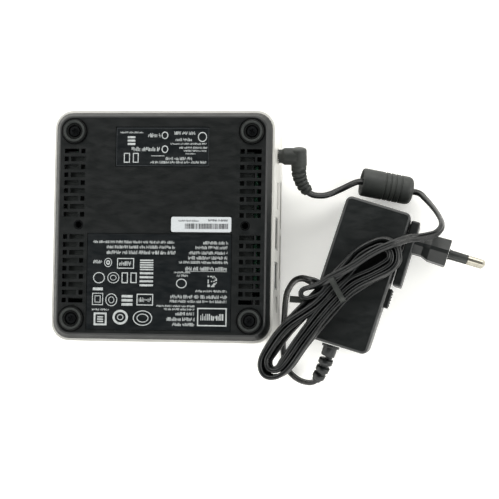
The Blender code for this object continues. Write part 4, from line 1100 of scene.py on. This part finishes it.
def make_regulatory_print():
    """Print on the large label, with a patch of random squares among it."""
    rng = random.Random(21)
    boxes = print_boxes(REGULATORY_LINES, REGULATORY_FRAMES, REGULATORY_BLOCKS, rng)
    for _ in range(26):
        column, row = rng.randrange(8), rng.randrange(9)
        x, y = 23.9 + 0.58 * column, -30.6 + 0.62 * row
        boxes.append((x, y, x + 0.56, y + 0.6))
    add_piece("regulatory_print", print_mesh(boxes, REGULATORY_RINGS), "ink_light", "bottom_cover", 0)


def make_wireless_print():
    """Print on the small label, and the line round its edge."""
    boxes = print_boxes(WIRELESS_LINES, WIRELESS_FRAMES, WIRELESS_BLOCKS, random.Random(34))
    add_piece("wireless_print", print_mesh(boxes, WIRELESS_RINGS), "ink_light", "bottom_cover", 0)
    edge = frame_boxes(-23.4, 29.8, 23.4, 48.9, 0.22)
    add_piece("wireless_outline", print_mesh(edge, [], 0.02), "ink_dark", "bottom_cover", 0)


def make_barcode_print():
    """Random bars and two lines of marks on the paper label."""
    rng = random.Random(55)
    boxes = []
    x = 12.0
    while x < 33.4:
        wide = rng.choice((0.16, 0.16, 0.32, 0.48))
        boxes.append((x, -1.7, x + wide, 1.0))
        x += wide + rng.choice((0.18, 0.18, 0.36))
    boxes += greeked(8.6, 1.9, 19.1, 2.8, rng) + greeked(23.7, 2.1, 34.0, 3.2, rng)
    add_piece("barcode_print", print_mesh(boxes, []), "ink_black", "bottom_cover", 0)


# ---- connectors ----

def strips(low, high, axis, count, fill):
    """A row of equal strips between two corners along an axis."""
    boxes = []
    pitch = (high[axis] - low[axis]) / count
    for index in range(count):
        start, end = list(low), list(high)
        start[axis] = low[axis] + pitch * index + pitch * (1 - fill) / 2
        end[axis] = start[axis] + pitch * fill
        boxes.append((start, end))
    return boxes


def make_port_insides():
    """Tongues and contacts inside the connectors."""
    tongues = [
        ((40.9, -28.6, 24.9), (53.6, -19.4, 26.9)), ((40.9, -28.6, 33.1), (53.6, -19.4, 35.1)),
        ((45.9, 12.9, 23.8), (53.8, 21.5, 24.9)), ((45.9, -41.0, 23.4), (53.8, -36.2, 24.3)),
        ((-53.6, -21.6, 24.9), (-40.9, -12.4, 26.7)), ((-53.6, 12.4, 24.9), (-40.9, 21.6, 26.7))]
    for index, box in enumerate(tongues):
        bevel(add_piece(f"port_tongue_{index}", boxes_mesh([box]), "black_plastic", "chassis"), 0.15)
    rows_of_contacts = [
        ((44.0, -28.0, 24.78), (53.2, -20.0, 25.0), 4, 0.4),
        ((44.0, -28.0, 32.98), (53.2, -20.0, 33.2), 4, 0.4),
        ((-53.2, -21.0, 24.78), (-44.0, -13.0, 25.0), 4, 0.4),
        ((-53.2, 13.0, 24.78), (-44.0, 21.0, 25.0), 4, 0.4),
        ((46.5, 13.3, 23.7), (53.6, 21.1, 25.0), 9, 0.5),
        ((46.5, -40.7, 23.3), (53.6, -36.5, 24.4), 7, 0.5),
        ((38.0, -7.2, 30.2), (52.0, 1.8, 30.6), 8, 0.4)]
    contacts = []
    for low, high, count, fill in rows_of_contacts:
        contacts += strips(low, high, 1, count, fill)
    add_piece("port_contacts", boxes_mesh(contacts), "gold", "chassis")


# ---- circuit boards ----

def add_chip(bodies, legs, x, y, wide, deep, high, floor):
    """A flat package with a row of small legs along two sides."""
    bodies.append(((x - wide / 2, y - deep / 2, floor + 0.1), (x + wide / 2, y + deep / 2, floor + high)))
    count = max(3, int(wide / 0.9))
    for side in (-1, 1):
        edge = y + side * deep / 2
        low, high_y = min(edge, edge + side * 0.7), max(edge, edge + side * 0.7)
        legs.extend(strips((x - wide / 2 + 0.3, low, floor),
                           (x + wide / 2 - 0.3, high_y, floor + 0.25), 0, count, 0.5))


def make_board_parts():
    """Chips, chokes and capacitors on the side of the main board that faces the drive."""
    rng = random.Random(89)
    bodies, legs, tiny = [], [], []
    for x, y, wide, deep, high in (
            (17.0, -3.5, 13.0, 13.0, 1.3), (-42.0, -28.0, 6.0, 5.0, 1.0), (37.5, 26.5, 5.0, 7.0, 1.1),
            (18.0, 40.5, 9.0, 6.0, 1.2), (-12.0, 42.5, 8.0, 5.0, 1.1), (-42.0, 30.0, 5.0, 6.0, 1.0),
            (-18.0, -43.5, 7.0, 5.0, 1.1), (30.5, -2.0, 5.0, 6.0, 1.0)):
        add_chip(bodies, legs, x, y, wide, deep, high, BOARD_TOP)
    bevel(add_piece("board_chips", boxes_mesh(bodies), "black_plastic", "chassis"), 0.12)
    add_piece("chip_legs", boxes_mesh(legs), "nickel", "chassis")
    zones = ((-1.0, -12.0, 4.0, 36.0), (6.0, 36.0, 36.0, 47.0), (-34.0, 37.5, -3.0, 48.0),
             (-34.0, -49.0, 3.0, -38.0), (-50.0, -46.0, -37.0, -40.0), (27.5, 9.0, 34.0, 33.0))
    for x0, y0, x1, y1 in zones:
        for _ in range(int((x1 - x0) * (y1 - y0) / AREA_PER_SMALL_PART)):
            x, y = rng.uniform(x0, x1 - 1.2), rng.uniform(y0, y1 - 1.2)
            wide, deep = rng.choice(((1.0, 0.5), (0.5, 1.0), (1.5, 0.8), (0.8, 1.5)))
            tiny.append(((x, y, BOARD_TOP), (x + wide, y + deep, BOARD_TOP + 0.5)))
    add_piece("board_small_parts", boxes_mesh(tiny), "tan_ceramic", "chassis", 0)
    chokes = [((x, y, BOARD_TOP), (x + 5.0, y + 5.0, BOARD_TOP + 3.0))
              for x, y in ((-48.5, -9.0), (-48.5, 4.2), (35.0, -48.5), (28.0, 42.5))]
    bevel(add_piece("board_chokes", boxes_mesh(chokes), "choke_grey", "chassis"), 0.5, 3)
    cans = bmesh.new()
    can = [(2.0, 0.0), (2.05, 0.3), (2.05, 3.6), (1.9, 4.0), (1.2, 4.05)]
    for x, y in ((-40.0, 40.5), (-45.5, 40.5), (9.0, -46.0), (14.0, -46.0), (40.0, 45.5), (46.0, 45.5)):
        add_loft(cans, [circle(radius, BOARD_TOP + height, (x, y), 32) for radius, height in can])
    add_piece("board_capacitors", finish_mesh(cans), "aluminium", "chassis", 40.0)


def make_module_chips():
    """Chips on both memory modules, and a metal shield on the wireless card."""
    for index, node in enumerate(("memory_module_lower", "memory_module_upper")):
        low, high = node_box(node)
        middle = (low.z + high.z) / 2
        boxes = [((low.x + 5.0, y - 4.0, middle + 0.3), (low.x + 17.5, y + 4.0, high.z + 0.02))
                 for y in (-25.0, -8.4, 8.2, 24.8)]
        bevel(add_piece(f"memory_chips_{index}", boxes_mesh(boxes), "black_plastic", "chassis"), 0.12)
    top = node_box("wireless_card")[1].z
    shield = boxes_mesh([((13.0, -36.0, top - 0.4), (27.0, -19.0, top + 0.05))])
    bevel(add_piece("wireless_shield", shield, "nickel", "chassis"), 0.3, 3)


def make_fan_details():
    """Hub cap on the blower's rotor."""
    low, high = node_box("fan_rotor")
    centre = (low + high) / 2
    hub = [(8.6, high.z - 0.4), (8.6, high.z + 0.1), (8.0, high.z + 0.35), (3.0, high.z + 0.4)]
    matrix = Matrix.Translation((centre.x, centre.y, 0.0))
    add_piece("rotor_cap", turned_mesh(hub, matrix), "black_plastic", "fan_rotor", 40.0)


def main():
    make_camera()
    cord, path = make_cord()
    on_cord = [make_plug(), make_plug_boot(), make_supply_boot(), make_ferrite(), make_tie(),
               make_tie_tail()]
    for make in (make_stage, make_lights, dress_nodes, soften_nodes, make_pin_sleeves,
                 make_supply_details, make_feet, make_mount_inserts, make_regulatory_print,
                 make_wireless_print, make_barcode_print, make_port_insides, make_board_parts,
                 make_module_chips, make_fan_details):
        make()


main()
